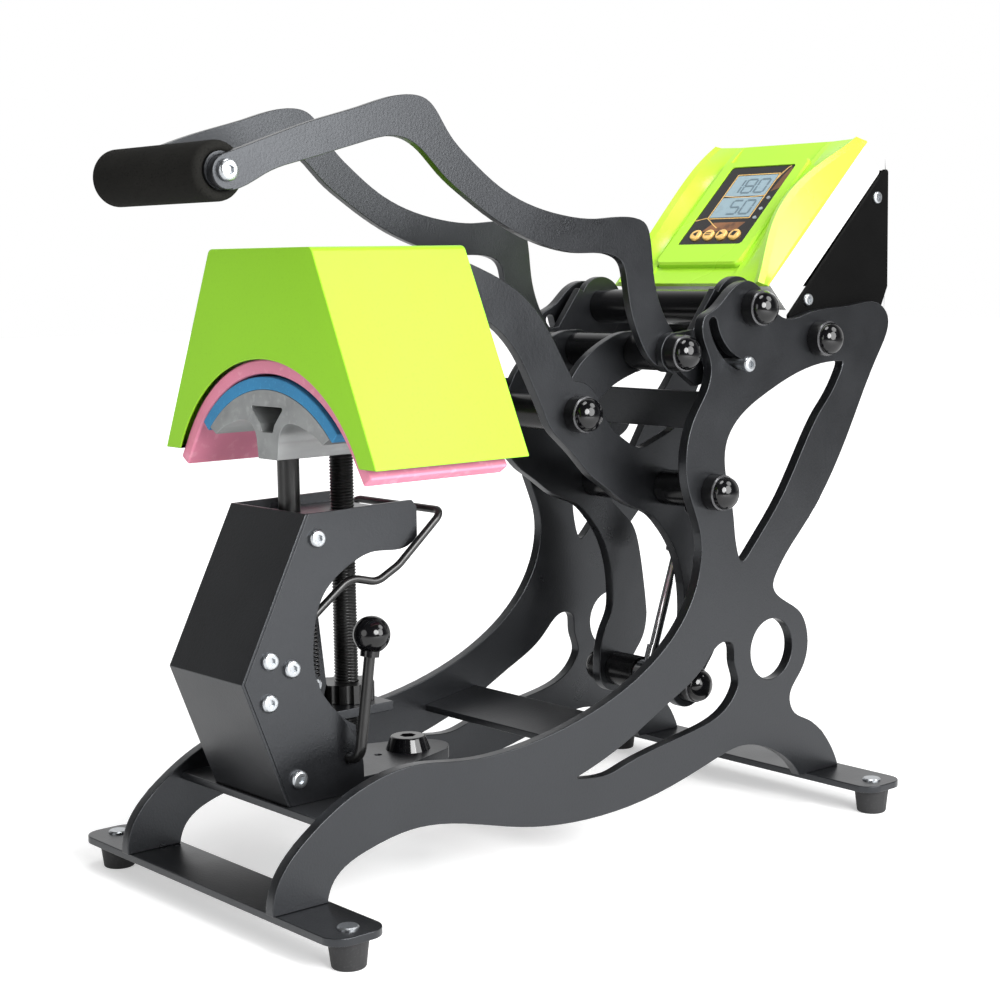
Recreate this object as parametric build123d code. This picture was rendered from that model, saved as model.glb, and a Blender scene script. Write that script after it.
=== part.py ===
from build123d import *
import math
import os

# Cap heat press, a clamshell on two side frames, in millimetres.
# X runs across (+X is the operator's right), Y from front to rear, Z up; Y = 0 lies midway between
# the feet and Z = 0 is the floor.  The side view is drawn in (Y, Z), the front view in (X, Z).

# ---- driving sizes ------------------------------------------------------------------------------
FRAME_WIDTH = 175.0          # over the outer faces of the side frames
FRAME_T = 8.0                # side frame plate
CRANK_T = 6.0                # crank plate of the lever
HANDLE_ARM_T = 6.0           # handle arm of the lever
LEVER_GAP = 7.5              # side frame to crank plate
ARM_WIDTH = 82.5             # over the outer faces of the two platen arms
ARM_T = 8.0                  # platen arm plate
LINK_T = 6.0                 # toggle link plate
SIDE_GAP = 0.4               # side clearance of parts that turn past each other
FIT = 0.05                   # radial clearance of a running fit
ROD_D = 12.0                 # pivot rods
SPACER_D = 25.0              # tube spacers on the rods

NUT_D = 25.0                 # dome nut, collar diameter
NUT_COLLAR = 10.5            # collar length
DOME_D = 23.0                # glossy dome on the collar
DOME_H = 8.5

LEVER_Y, LEVER_Z = 155.5, 366.2        # lever turns in the frame
TOGGLE_Y, TOGGLE_Z = 94.5, 337.0       # lever meets the toggle links
LINK_Y, LINK_Z = 30.5, 297.5           # toggle links meet the platen arms
ARM_Y, ARM_Z = 115.2, 240.6            # platen arms turn in the frame
GAS_TOP_Y, GAS_TOP_Z = 225.0, 342.5    # gas spring hangs in the frame
GAS_FOOT_Y, GAS_FOOT_Z = 136.9, 95.5   # gas spring pushes on the platen arms

LEVER_TRAVEL = 56.0          # degrees the lever swings open
STOP_RADIUS = 41.0           # stop screw from the lever pivot
STOP_ANGLE = 249.0           # stop screw at rest, from +Y in the side view
STOP_SLOT = 8.0              # width of the curved slot in the frame
STOP_SCREW_D = 7.0
STOP_HEAD_D = 11.0
STOP_STAND_OFF = 8.0         # screw head off the frame

FOOT_BAR_LENGTH = 292.0
FOOT_BAR_DEPTH = 40.0
FOOT_BAR_T = 5.0
FOOT_BAR_CORNER = 13.0
FOOT_INSET = 14.9            # foot screw from the end of its bar
FOOT_SPAN_Y = 469.6          # foot screws, front to rear
FOOT_HEIGHT = 18.0
FOOT_TOP_D = 25.0
FOOT_FLOOR_D = 20.5
FOOT_EDGE = 1.5              # rounding at the floor
FOOT_SCREW_D = 6.0
FOOT_SCREW_HEAD_D = 13.0
FOOT_SCREW_HEAD_H = 1.6
FOOT_POCKET_D = 12.0         # pocket under the rubber foot
FOOT_POCKET_DEPTH = 8.0

RING_Y, RING_Z = 175.6, 121.9          # ring hole low in the side frame
RING_D = 44.0

BASE_TOP = 71.0              # base plate between the side frames
BASE_T = 5.0
BASE_FRONT = -215.0
BASE_REAR = -80.0
STRAP_T = 5.0                # cross strap and rear strap
STRAP_FRONT_Y, STRAP_FRONT_Z = -10.0, 83.0
STRAP_LENGTH = 48.0
STRAP_SLOPE = 9.0
REAR_STRAP_Y = 120.0
REAR_STRAP_BOTTOM = 283.0
REAR_STRAP_TOP = 309.0

STAND_WIDTH = 82.8           # cap stand, over its side plates
STAND_T = 3.0
SHIELD_T = 2.0
STAND_FOOT_T = 8.0           # foot of the stand, with its tongue
CLAMP_FOOT_D, CLAMP_TOP_D = 30.0, 23.0     # conical head of the screw that holds the stand
CLAMP_H = 9.0
CLAMP_SOCKET = 11.0          # across the corners of its hexagon
TONGUE_TIP = -58.0
TONGUE_SCREW_Y = -88.0
TONGUE_HOLE_Y = -113.0
TOP_PLATE_Z = 245.0          # upper face of the bearing plate
TOP_PLATE_T = 6.0
LOW_PLATE_Z = 120.0          # upper face of the lower bearing plate
GUIDE_D = 14.0
GUIDE_Y = -178.0
SCREW_D = 16.0
SCREW_Y = -137.2
NUT_WHEEL_D = 36.0
NUT_WHEEL_T = 12.0
STAND_SCREW_D = 5.0
STAND_HEAD_D = 11.5
STAND_HEAD_H = 3.2
CHEEK_X = 24.0               # inner cheeks of the stand, inner face
CHEEK_T = 3.0
STAND_TOP_FRONT = (-192.5, 250.6)
STAND_KNEE = (-241.9, 151.9)
STAND_TOE = (-210.6, BASE_TOP)
TOP_PLATE_FRONT = -188.0
TOP_PLATE_REAR = -112.0

CAP_Z = 230.5                # centre of the curved platens in the front view
PLATEN_R = 94.0
PLATEN_EDGE_X = 66.0         # lower edge of the platen's crown
PAD_T = 8.0
PAD_ANGLE = 46.5             # half angle of the pad
CLOSED_GAP = 1.5             # room for a cap's cloth between pad and heating mat, closed
MAT_T = 9.5
MAT_ANGLE = 57.0
MAT_TAIL = 19.0              # straight tails of the mat
BACK_T = 3.0                 # curved back plate of the heater
BACK_TAIL = 8.0
BACK_RIB_T = 6.0
BACK_RIBS = [-170.0, -100.0]
BACK_RIB_TOP = 406.0
PLATEN_FRONT = -193.0
PLATEN_REAR = -103.0
MAT_FRONT = -191.5
MAT_REAR = -86.0
STEM_BOTTOM = 281.0
STEM_HALF = 10.6
SCREW_FOOT_Z = 96.0          # lower ends of guide rod and height screw

COVER_FRONT = -196.1
COVER_REAR = -78.0
COVER_TOP_Z = 411.6
COVER_TOP_X = 56.2
COVER_FOOT_Z = 282.0
COVER_FOOT_X = 116.0
COVER_T = 1.5
COVER_BEND = 5.0
COVER_ARCH_R = 110.4
COVER_ARCH_Z = 233.0
COVER_WINDOW_Z = 364.0       # opening in the rear wall for the platen arms
COVER_WINDOW_TOP = 408.0
COVER_WINDOW_SIDE = 4.0

GRIP_Y, GRIP_Z = -259.0, 455.0
GRIP_D = 35.0                # foam grip
HANDLE_BAR_D = 22.0
GRIP_SCREW_D = 6.0
GRIP_HEAD_D = 13.0

GAS_ROD_D = 8.0
GAS_TUBE_D = 18.0
GAS_ROD_SHOWN = 93.0         # from the lower pivot to the mouth of the tube
GAS_EYE_T = 12.0
GAS_EYE_WALL = 5.0           # lower eye round its rod
GAS_TOP_WALL = 3.5
GAS_STUB_D = 11.0            # socket of the rod in the lower eye
GAS_STUB = 14.0
GAS_PISTON_STOP = 40.0       # piston from the upper pivot, closed
GAS_OPEN_PLAY = 2.7          # radial play of the upper eye

BOX_Y, BOX_Z = 182.0, 380.5  # lower front edge of the controller's mounting plane
BOX_SLOPE = 43.78
BOX_LENGTH = 149.6
BOX_LIP = 1.5                # fascia over the side of the case
BOX_DEPTH = 29.0
BOX_WALL = 2.5
BOX_SHORT = 6.0              # case shorter than the fascia
BRACKET_T = 3.0
BRACKET_ROOM = 2.09          # case to the back of its bracket
BRACKET_LOBE_D = 30.0        # ear of the bracket on the gas spring's upper rod
BRACKET_SCREW_REAR = 14.0    # rear screws from the back of the bracket
BRACKET_SCREW_Z = 443.7
BRACKET_SCREW_LOW = (221.8, 370.1)
BRACKET_HEAD_D = 9.0
BRACKET_FOOT, BRACKET_HEAD = 378.0, 464.0
INLET_X, INLET_Z = 0.0, 406.0
INLET_WIDTH, INLET_HEIGHT, INLET_DEPTH = 48.0, 26.0, 26.0
INLET_LIP = 2.0
SOCKET_WIDTH, SOCKET_HEIGHT, SOCKET_DEPTH = 24.0, 16.5, 17.0
SOCKET_PINS = [(-7.0, -2.0), (7.0, -2.0), (0.0, 2.0)]
ROCKER_WIDTH, ROCKER_LENGTH = 10.0, 18.0
ROCKER_PIN_D = 3.0
ROCKER_TILT = 7.0
PANEL_HALF = 32.5
PANEL_FOOT, PANEL_HEAD = 36.0, 121.0
FASCIA_HALF = 43.0
FASCIA_FOOT, FASCIA_HEAD = 16.0, 128.0
FASCIA_H = 8.0
PANEL_T = 1.2
PANEL_RECESS = 0.8
LAMP_D = 3.0
LAMP_X = 27.5
LAMP_PLACES = [64.0, 73.5, 85.0]
DECK_T = 3.0
BUTTON_D = 10.0
BUTTON_PITCH = 13.0
BUTTON_S = 46.0
BUTTON_PROUD = 1.2
BUTTON_HOLE = 0.4            # radial clearance round a button

BAIL_D = 5.0
BAIL_EYE_D = 11.0
BAIL_PIVOT_Y, BAIL_PIVOT_Z = -208.1, 156.9
BAIL_LEG_X = 34.7
BAIL_BAR_X = 47.5
SPRING_D = 4.4
SPRING_FOOT_Y, SPRING_FOOT_Z = -181.0, 140.6
SPRING_LENGTH = 36.0
SPRING_LEAN = 4.0            # degrees the springs lean forward
KNOB_D = 23.5
KNOB_ROD_D = 7.0
KNOB_NECK_D, KNOB_NECK = 12.0, 4.0
CAM_D, CAM_HUB_D = 16.0, 14.0
CAM_THROW = 4.0
CAM_T = 4.0
KNOB_SHAFT_Y, KNOB_SHAFT_Z = -166.2, 94.4
KNOB_X, KNOB_Y, KNOB_Z = 52.5, -155.0, 172.5

# ---- sizes that follow --------------------------------------------------------------------------
FRAME_OUT = FRAME_WIDTH / 2
FRAME_IN = FRAME_OUT - FRAME_T
CRANK_OUT = FRAME_IN - LEVER_GAP
CRANK_IN = CRANK_OUT - CRANK_T
HANDLE_IN = CRANK_IN - HANDLE_ARM_T
ARM_OUT = ARM_WIDTH / 2
ARM_IN = ARM_OUT - ARM_T
LINK_OUT = ARM_IN - SIDE_GAP
LINK_IN = LINK_OUT - LINK_T
STAND_OUT = STAND_WIDTH / 2
STAND_IN = STAND_OUT - STAND_T
FOOT_BAR_TOP = FOOT_HEIGHT + FOOT_BAR_T
FOOT_SPAN_X = FOOT_BAR_LENGTH - 2 * FOOT_INSET
CASE_WIDTH = 2 * (FRAME_IN - BRACKET_T)
BOX_HALF = CASE_WIDTH / 2 + BOX_LIP
CASE_REAR = (BOX_Y + (BOX_LENGTH - BOX_SHORT / 2) * math.cos(math.radians(BOX_SLOPE))
             + BOX_DEPTH * math.sin(math.radians(BOX_SLOPE)))
BRACKET_REAR = CASE_REAR + BRACKET_ROOM + BRACKET_T
BRACKET_SCREWS = [(BRACKET_REAR - BRACKET_SCREW_REAR, BRACKET_SCREW_Z), BRACKET_SCREW_LOW]
PAD_R = PLATEN_R + PAD_T
MAT_R = PAD_R + CLOSED_GAP
BACK_R = MAT_R + MAT_T

LEVER_PIVOT = (LEVER_Y, LEVER_Z)
TOGGLE_PIVOT = (TOGGLE_Y, TOGGLE_Z)
LINK_PIVOT = (LINK_Y, LINK_Z)
ARM_PIVOT = (ARM_Y, ARM_Z)
GAS_TOP = (GAS_TOP_Y, GAS_TOP_Z)
GAS_FOOT = (GAS_FOOT_Y, GAS_FOOT_Z)
BAIL_PIVOT = (BAIL_PIVOT_Y, BAIL_PIVOT_Z)
KNOB_SHAFT = (KNOB_SHAFT_Y, KNOB_SHAFT_Z)
STAND_BOLTS = [(-186.9, 235), (-223.8, 163.8), BAIL_PIVOT, (-225, 138.1), (-205, 87.5)]


# ---- drawing helpers ----------------------------------------------------------------------------
UP = (Align.CENTER, Align.CENTER, Align.MIN)
DOWN = (Align.CENTER, Align.CENTER, Align.MAX)


def outline(*runs):
    """A face from runs that join end to end: two points make a straight line, more a smooth curve."""
    return make_face([Line(*run) if len(run) == 2 else Spline(*run) for run in runs])


def disc(centre, diameter):
    return Pos(*centre) * Circle(diameter / 2)


def side_plate(face, x, thickness):
    """A face of the side view, made a plate from x towards +X."""
    return extrude(Plane.YZ.offset(x) * face, amount=thickness)


def plate_pair(face, x, thickness):
    """The same plate on the right, from x outwards, and on the left."""
    return [side_plate(face, x, thickness), side_plate(face, -x - thickness, thickness)]


def front_plate(face, y_front, y_rear):
    """A face of the front view, made solid from y_front back to y_rear."""
    return extrude(Plane.XZ.offset(-y_front) * face, amount=y_front - y_rear)


def flat_plate(face, z_top, thickness):
    """A face of the plan view, made a plate below z_top."""
    return extrude(Plane.XY.offset(z_top) * face, amount=-thickness)


def rod(centre, diameter, x0, x1):
    return side_plate(disc(centre, diameter), x0, x1 - x0)


def tube(centre, outer, bore, x0, x1):
    return side_plate(disc(centre, outer) - disc(centre, bore), x0, x1 - x0)


def pair(solid):
    """The solid on the right and its mirror image on the left."""
    return [solid, mirror(solid, Plane.YZ)]


def screw_head(diameter, height, socket):
    """A button head standing on z = 0 with a hexagon socket."""
    head = Cylinder(diameter / 2, height, align=UP)
    head = fillet(head.edges().group_by(Axis.Z)[-1], height * 0.6)
    cut = extrude(RegularPolygon(socket / 2, 6), amount=height)
    return head - Pos(0, 0, height * 0.45) * cut


def side_screw(centre, x_seat, shank_length, shank_d, head_d, head_h):
    """A button head screw driven towards -X, its head seated at x_seat."""
    head = screw_head(head_d, head_h, head_d * 0.45)
    shank = Cylinder(shank_d / 2, shank_length, align=DOWN)
    return Pos(x_seat, *centre) * Rot(0, 90, 0) * (head + shank)


def dome_nut(centre, x_seat):
    """A closed collar nut with a domed cap, seated at x_seat and facing +X."""
    lip = 1.0
    collar = Cylinder(NUT_D / 2, NUT_COLLAR, align=UP)
    collar = chamfer(collar.edges().group_by(Axis.Z)[-1], lip)
    ball_r = (DOME_H ** 2 + (DOME_D / 2) ** 2) / (2 * DOME_H)
    ball = Pos(0, 0, NUT_COLLAR + DOME_H - ball_r) * Sphere(ball_r)
    keep = Pos(0, 0, NUT_COLLAR) * Cylinder(DOME_D / 2, DOME_H, align=UP)
    return Pos(x_seat, *centre) * Rot(0, 90, 0) * (collar + (ball & keep))


def node(name, *solids):
    """Writes one named sub-part: a list of solids, each a piece of its own."""
    flat = [s for item in solids for s in (item if isinstance(item, list) else [item])]
    bodies = [body for item in flat for body in item.solids()]
    for body in bodies:
        body.label = name
    shape = bodies[0] if len(bodies) == 1 else Compound(label=name, children=bodies)
    export_step(shape, os.path.join("parts", name + ".step"))


# ---- side frames, straps, base plate and feet ---------------------------------------------------
def frame_outline():
    front = [(-257, FOOT_BAR_TOP), (-252.5, 42.5), (-230, 66), (-191, 87.5), (-151, 95), (-110, 90.8),
             (-66, 91.2), (-20, 98.8), (40, 120), (77.5, 146), (98.8, 177.5), (102.5, 212.5), (90, 247.5),
             (88.5, 262), (97.5, 294), (112, 317), (113, 330), (105.5, 348), (107, 361), (117.5, 366.5),
             (135, 380), (152.5, 385), (166, 377.5), (180, 362.5), (192, 357.5), (215, 361.2), (265, 365.6),
             (296, 364.5), (303.5, 357), (292.5, 327.5), (261, 275), (215, 212.5), (182, 178), (177.5, 167),
             (186, 157.5), (207.5, 143.8), (215, 122), (207.5, 101), (195.5, 84), (199, 73), (215, 63.8),
             (241, 40), (249.4, FOOT_BAR_TOP)]
    arch = [(206.2, FOOT_BAR_TOP), (197.5, 33.8), (170, 50.5), (145, 56), (115, 50.5), (58.8, 36.9), (0, 31.9),
            (-66, 38.8), (-115, 51), (-150, 55), (-185, 49.5), (-212, 36), (-217.5, FOOT_BAR_TOP)]
    return outline(front, [front[-1], arch[0]], arch, [arch[-1], front[0]])


def frame_windows():
    big = [(251, 325), (230, 324.4), (198.8, 317.5), (167.5, 305), (140, 288.8), (129.5, 275), (128, 252.5),
           (135, 227.5), (140, 196.2), (144, 189), (153, 195), (190, 236.2), (227.5, 290), (249, 316)]
    low = [(-15, 62.4), (33.8, 80), (71.2, 98.8), (105, 118.8), (127, 133.6), (134.5, 131), (136.5, 118),
           (140.5, 102), (137, 94.5), (90, 74.4), (27.5, 62.6), (-10, 60.8)]
    big_face = make_face(Spline(*big, periodic=True))
    low_face = make_face(Spline(*low, periodic=True))
    return big_face + low_face + disc((RING_Y, RING_Z), RING_D)


def stop_slot():
    """The curved slot that the lever's stop screw runs in."""
    sweep = CenterArc(LEVER_PIVOT, STOP_RADIUS, STOP_ANGLE - LEVER_TRAVEL, LEVER_TRAVEL)
    return SlotArc(sweep, STOP_SLOT)


def stop_point():
    turn = math.radians(STOP_ANGLE)
    return (LEVER_Y + STOP_RADIUS * math.cos(turn), LEVER_Z + STOP_RADIUS * math.sin(turn))


def make_frame():
    face = frame_outline() - frame_windows() - stop_slot()
    for centre in (LEVER_PIVOT, ARM_PIVOT, GAS_TOP):
        face -= disc(centre, ROD_D)
    node("side_frame_right", side_plate(face, FRAME_IN, FRAME_T))
    node("side_frame_left", side_plate(face, -FRAME_OUT, FRAME_T))

    slope = math.radians(STRAP_SLOPE)
    run, rise = STRAP_LENGTH * math.cos(slope), STRAP_LENGTH * math.sin(slope)
    dip, back = STRAP_T * math.cos(slope), STRAP_T * math.sin(slope)
    p0 = (STRAP_FRONT_Y, STRAP_FRONT_Z)
    p1 = (STRAP_FRONT_Y + run, STRAP_FRONT_Z + rise)
    p2 = (p1[0] + back, p1[1] - dip)
    p3 = (p0[0] + back, p0[1] - dip)
    node("cross_strap", side_plate(make_face(Polyline(p0, p1, p2, p3, close=True)), -FRAME_IN, 2 * FRAME_IN))
    rear = Box(2 * FRAME_IN, STRAP_T, REAR_STRAP_TOP - REAR_STRAP_BOTTOM)
    node("rear_strap", Pos(0, REAR_STRAP_Y, (REAR_STRAP_TOP + REAR_STRAP_BOTTOM) / 2) * rear)

    sheet = Pos(0, (BASE_FRONT + BASE_REAR) / 2) * Rectangle(2 * FRAME_IN, BASE_REAR - BASE_FRONT)
    sheet -= disc((0, TONGUE_SCREW_Y), ROD_D)
    node("base_plate", flat_plate(sheet, BASE_TOP, BASE_T))


def make_feet():
    bars, feet, screws = [], [], []
    for y in (-FOOT_SPAN_Y / 2, FOOT_SPAN_Y / 2):
        bar = RectangleRounded(FOOT_BAR_LENGTH, FOOT_BAR_DEPTH, FOOT_BAR_CORNER)
        bar -= Pos(-FOOT_SPAN_X / 2, 0) * Circle(FOOT_SCREW_D / 2)
        bar -= Pos(FOOT_SPAN_X / 2, 0) * Circle(FOOT_SCREW_D / 2)
        bars.append(Pos(0, y) * flat_plate(bar, FOOT_BAR_TOP, FOOT_BAR_T))
        for x in (-FOOT_SPAN_X / 2, FOOT_SPAN_X / 2):
            foot = Cone(FOOT_FLOOR_D / 2, FOOT_TOP_D / 2, FOOT_HEIGHT, align=UP)
            foot = fillet(foot.edges().group_by(Axis.Z)[0], FOOT_EDGE)
            foot -= Cylinder(FOOT_SCREW_D / 2, FOOT_HEIGHT, align=UP)
            foot -= Cylinder(FOOT_POCKET_D / 2, FOOT_POCKET_DEPTH, align=UP)
            feet.append(Pos(x, y, 0) * foot)
            head = Cylinder(FOOT_SCREW_HEAD_D / 2, FOOT_SCREW_HEAD_H, align=UP)
            head = chamfer(head.edges().group_by(Axis.Z)[-1], FOOT_SCREW_HEAD_H * 0.5)
            length = FOOT_BAR_T + FOOT_HEIGHT - FOOT_POCKET_DEPTH
            shank = Cylinder(FOOT_SCREW_D / 2, length, align=DOWN)
            screws.append(Pos(x, y, FOOT_BAR_TOP) * (head + shank))
    node("foot_bars", bars)
    node("rubber_feet", feet)
    node("foot_screws", screws)


# ---- rods, spacers and dome nuts ----------------------------------------------------------------
def make_rods():
    reach = FRAME_OUT + NUT_COLLAR - 2
    nuts, rods, spacers = [], [], []
    for centre in (LEVER_PIVOT, ARM_PIVOT, GAS_TOP):
        nut = dome_nut(centre, FRAME_OUT) - rod(centre, ROD_D, FRAME_OUT, reach)
        nuts += pair(nut)
        rods.append(rod(centre, ROD_D, -reach, reach))
    spacers += pair(tube(LEVER_PIVOT, SPACER_D, ROD_D, CRANK_OUT + SIDE_GAP, FRAME_IN))
    spacers += pair(tube(ARM_PIVOT, SPACER_D, ROD_D, ARM_OUT + SIDE_GAP, FRAME_IN))
    spacers += pair(tube(GAS_TOP, SPACER_D, ROD_D, GAS_EYE_T / 2 + SIDE_GAP, FRAME_IN - BRACKET_T))
    node("pivot_rods", rods)
    node("frame_dome_nuts", nuts)
    node("frame_spacers", spacers)


# ---- lever: handle arms, crank plates, grip -----------------------------------------------------
def handle_outline():
    upper = [(-262, 463.6), (-235, 472.5), (-201, 483.8), (-160, 495), (-125, 502.4), (-114, 500.2),
             (-97.5, 481.2), (-78.8, 463.8), (-57.5, 448.8), (-32.5, 437.5), (-3.8, 430.6), (27.5, 428.1),
             (62, 428.8), (73, 424.5), (77.3, 414), (80.6, 387.5), (88, 366), (TOGGLE_Y + 10, TOGGLE_Z + 9)]
    lower = [(TOGGLE_Y - 11, TOGGLE_Z - 9), (74.4, 335), (65, 350), (58.8, 365), (54, 389), (50.5, 399),
             (41, 404.2), (15, 405.6), (-10, 408.8), (-35, 416.2), (-60, 427.5), (-85, 442.5), (-103.8, 456.2),
             (-121, 471.5), (-132, 476.4), (-160, 473.8), (-207.5, 461.2), (-230, 454.5), (-246, 446.5),
             (-255, 443.6)]
    tip = disc((-258.4, 454), 20)
    return outline(upper, [upper[-1], lower[0]], lower, [lower[-1], upper[0]]) + tip + disc(TOGGLE_PIVOT, 27)


def crank_outline():
    stop = stop_point()
    web = make_face(Polyline((TOGGLE_Y - 4, TOGGLE_Z + 13), (LEVER_Y - 44, LEVER_Z - 14),
                             (LEVER_Y - 22, LEVER_Z + 14), (LEVER_Y + 18, LEVER_Z - 14),
                             (stop[0] + 6, stop[1] - 8), (stop[0] - 14, stop[1] - 12),
                             (TOGGLE_Y + 20, TOGGLE_Z - 24), (TOGGLE_Y + 4, TOGGLE_Z - 13), close=True))
    return web + disc(TOGGLE_PIVOT, 28) + disc(LEVER_PIVOT, 44) + disc(stop, 22)


def make_lever():
    arm_face = handle_outline() - disc(TOGGLE_PIVOT, ROD_D) - disc((GRIP_Y, GRIP_Z), GRIP_SCREW_D)
    node("handle_arms", plate_pair(arm_face, HANDLE_IN, HANDLE_ARM_T))

    stop = stop_point()
    crank_face = crank_outline() - disc(TOGGLE_PIVOT, ROD_D) - disc(stop, STOP_SCREW_D)
    crank_face -= disc(LEVER_PIVOT, ROD_D + 2 * FIT)
    node("crank_plates", plate_pair(crank_face, CRANK_IN, CRANK_T))

    grip = (GRIP_Y, GRIP_Z)
    bar = rod(grip, HANDLE_BAR_D, -HANDLE_IN, HANDLE_IN) - rod(grip, GRIP_SCREW_D, -HANDLE_IN, HANDLE_IN)
    node("handle_bar", bar)
    foam = tube(grip, GRIP_D, HANDLE_BAR_D, -HANDLE_IN + 1, HANDLE_IN - 1)
    foam = fillet(foam.edges().filter_by(GeomType.CIRCLE).group_by(SortBy.RADIUS)[-1], 3)
    node("foam_grip", foam)

    grip_screw = side_screw(grip, HANDLE_IN + HANDLE_ARM_T, 25, GRIP_SCREW_D, GRIP_HEAD_D, 4)
    reach = FRAME_OUT + STOP_STAND_OFF
    stop_screw = side_screw(stop, reach, reach - CRANK_IN, STOP_SCREW_D, STOP_HEAD_D, 4)
    node("lever_screws", pair(grip_screw), pair(stop_screw))

    end = CRANK_OUT + NUT_COLLAR - 2
    node("toggle_rod", rod(TOGGLE_PIVOT, ROD_D, -end, end))
    toggle_nut = dome_nut(TOGGLE_PIVOT, CRANK_OUT) - rod(TOGGLE_PIVOT, ROD_D, CRANK_OUT, end)
    node("toggle_dome_nuts", pair(toggle_nut))
    middle = tube(LEVER_PIVOT, SPACER_D, ROD_D + 2 * FIT, -CRANK_IN, CRANK_IN)
    outer = tube(TOGGLE_PIVOT, SPACER_D, ROD_D, LINK_OUT + SIDE_GAP, HANDLE_IN)
    node("lever_spacers", pair(outer), middle)


# ---- toggle links -------------------------------------------------------------------------------
def make_links():
    upper = [(TOGGLE_Y - 2, TOGGLE_Z + 14), (78, 350), (62.6, 344), (46.5, 334.5), (LINK_Y - 2, LINK_Z + 14)]
    lower = [(LINK_Y + 3, LINK_Z - 14), (45, 290), (58.2, 303.8), (70, 312.8), (81.4, 318),
             (TOGGLE_Y + 2, TOGGLE_Z - 14)]
    web = outline(upper, [upper[-1], lower[0]], lower, [lower[-1], upper[0]])
    face = web + disc(TOGGLE_PIVOT, 29) + disc(LINK_PIVOT, 29)
    face -= disc(TOGGLE_PIVOT, ROD_D + 2 * FIT)
    face -= disc(LINK_PIVOT, ROD_D)
    node("toggle_links", plate_pair(face, LINK_IN, LINK_T))
    sleeve = tube(LINK_PIVOT, SPACER_D, ROD_D, -LINK_IN, LINK_IN)
    middle = tube(TOGGLE_PIVOT, SPACER_D, ROD_D + 2 * FIT, -LINK_IN, LINK_IN)
    node("link_pins", rod(LINK_PIVOT, ROD_D, -LINK_OUT, LINK_OUT), sleeve, middle)


# ---- platen arms --------------------------------------------------------------------------------
def arm_outline():
    upper = [(-78, 406), (-57.5, 398.8), (-31.2, 387.5), (-7.5, 371.2), (12.5, 345), (27.5, 321.2), (40, 307),
             (55, 296), (62, 287.5), (77, 276), (89.9, 270.4), (104, 274), (121.4, 280.6), (136, 289),
             (148, 290), (153, 281), (147, 273), (133.8, 266), (129, 260)]
    rear = [(135, 222), (145, 213), (154.5, 203.8), (161.9, 185), (166, 162.2), (168.5, 143.5), (169, 130),
            (164.8, 115.5), (155, 103), (GAS_FOOT_Y + 12, GAS_FOOT_Z - 12)]
    front = [(GAS_FOOT_Y - 15, GAS_FOOT_Z - 9), (120, 106), (126, 127.5), (132.5, 140), (133.8, 152.5),
             (132.5, 168.8), (128.8, 183.8), (121.2, 200), (111.2, 212.5), (100, 222.5), (87.5, 227.5),
             (71.2, 235), (58.8, 243.8),
             (43.8, 253.8), (31.2, 266.2), (17.5, 278.8), (6.2, 290), (1, 300), (-7.5, 316.2), (-21.2, 340),
             (-31.2, 351.2), (-45, 361.2), (-62, 366), (-78, 367.5)]
    seat = COVER_TOP_Z - COVER_T
    nose = [(-78, 367.5), (-184, 367.5), (-184, seat), (-84, seat), (-80, 406), (-78, 406)]
    nose_lines = [[nose[i], nose[i + 1]] for i in range(len(nose) - 1)]
    face = outline(upper, [upper[-1], rear[0]], rear, [rear[-1], front[0]], front, *nose_lines)
    return face + disc(ARM_PIVOT, 40) + disc(GAS_FOOT, 35) + disc(LINK_PIVOT, 44)


def make_arms():
    face = arm_outline() - disc(ARM_PIVOT, ROD_D + 2 * FIT)
    face -= disc(GAS_FOOT, ROD_D)
    face -= disc(LINK_PIVOT, ROD_D)
    node("platen_arm_right", side_plate(face, ARM_IN, ARM_T))
    node("platen_arm_left", side_plate(face, -ARM_OUT, ARM_T))

    end = ARM_OUT + NUT_COLLAR - 2
    nuts = []
    for centre in (LINK_PIVOT, GAS_FOOT):
        nuts += pair(dome_nut(centre, ARM_OUT) - rod(centre, ROD_D, ARM_OUT, end))
    node("arm_dome_nuts", nuts)
    node("arm_rods", pair(rod(LINK_PIVOT, ROD_D, ARM_IN, end)), rod(GAS_FOOT, ROD_D, -end, end))
    middle = tube(ARM_PIVOT, SPACER_D, ROD_D + 2 * FIT, -ARM_IN, ARM_IN)
    beside = tube(GAS_FOOT, SPACER_D, ROD_D, GAS_EYE_T / 2 + SIDE_GAP, ARM_IN)
    node("arm_spacers", middle, pair(beside))


# ---- heated upper platen ------------------------------------------------------------------------
def arch_band(r_in, r_out, half_angle, tail):
    """A strip bent to an arch round the cap's centre, with straight tails of the given length."""
    turn = math.radians(half_angle)
    lead = (math.cos(turn) * tail, -math.sin(turn) * tail)

    def spot(radius, side, run):
        x = radius * math.sin(turn) + lead[0] * run
        return (side * x, CAP_Z + radius * math.cos(turn) + lead[1] * run)

    edges = [ThreePointArc(spot(r_in, -1, 0), (0, CAP_Z + r_in), spot(r_in, 1, 0)),
             ThreePointArc(spot(r_out, 1, 0), (0, CAP_Z + r_out), spot(r_out, -1, 0))]
    for side in (-1, 1):
        edges.append(Line(spot(r_in, side, 1), spot(r_out, side, 1)))
        if tail > 0:
            edges += [Line(spot(r, side, 0), spot(r, side, 1)) for r in (r_in, r_out)]
    return make_face(edges)


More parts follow.
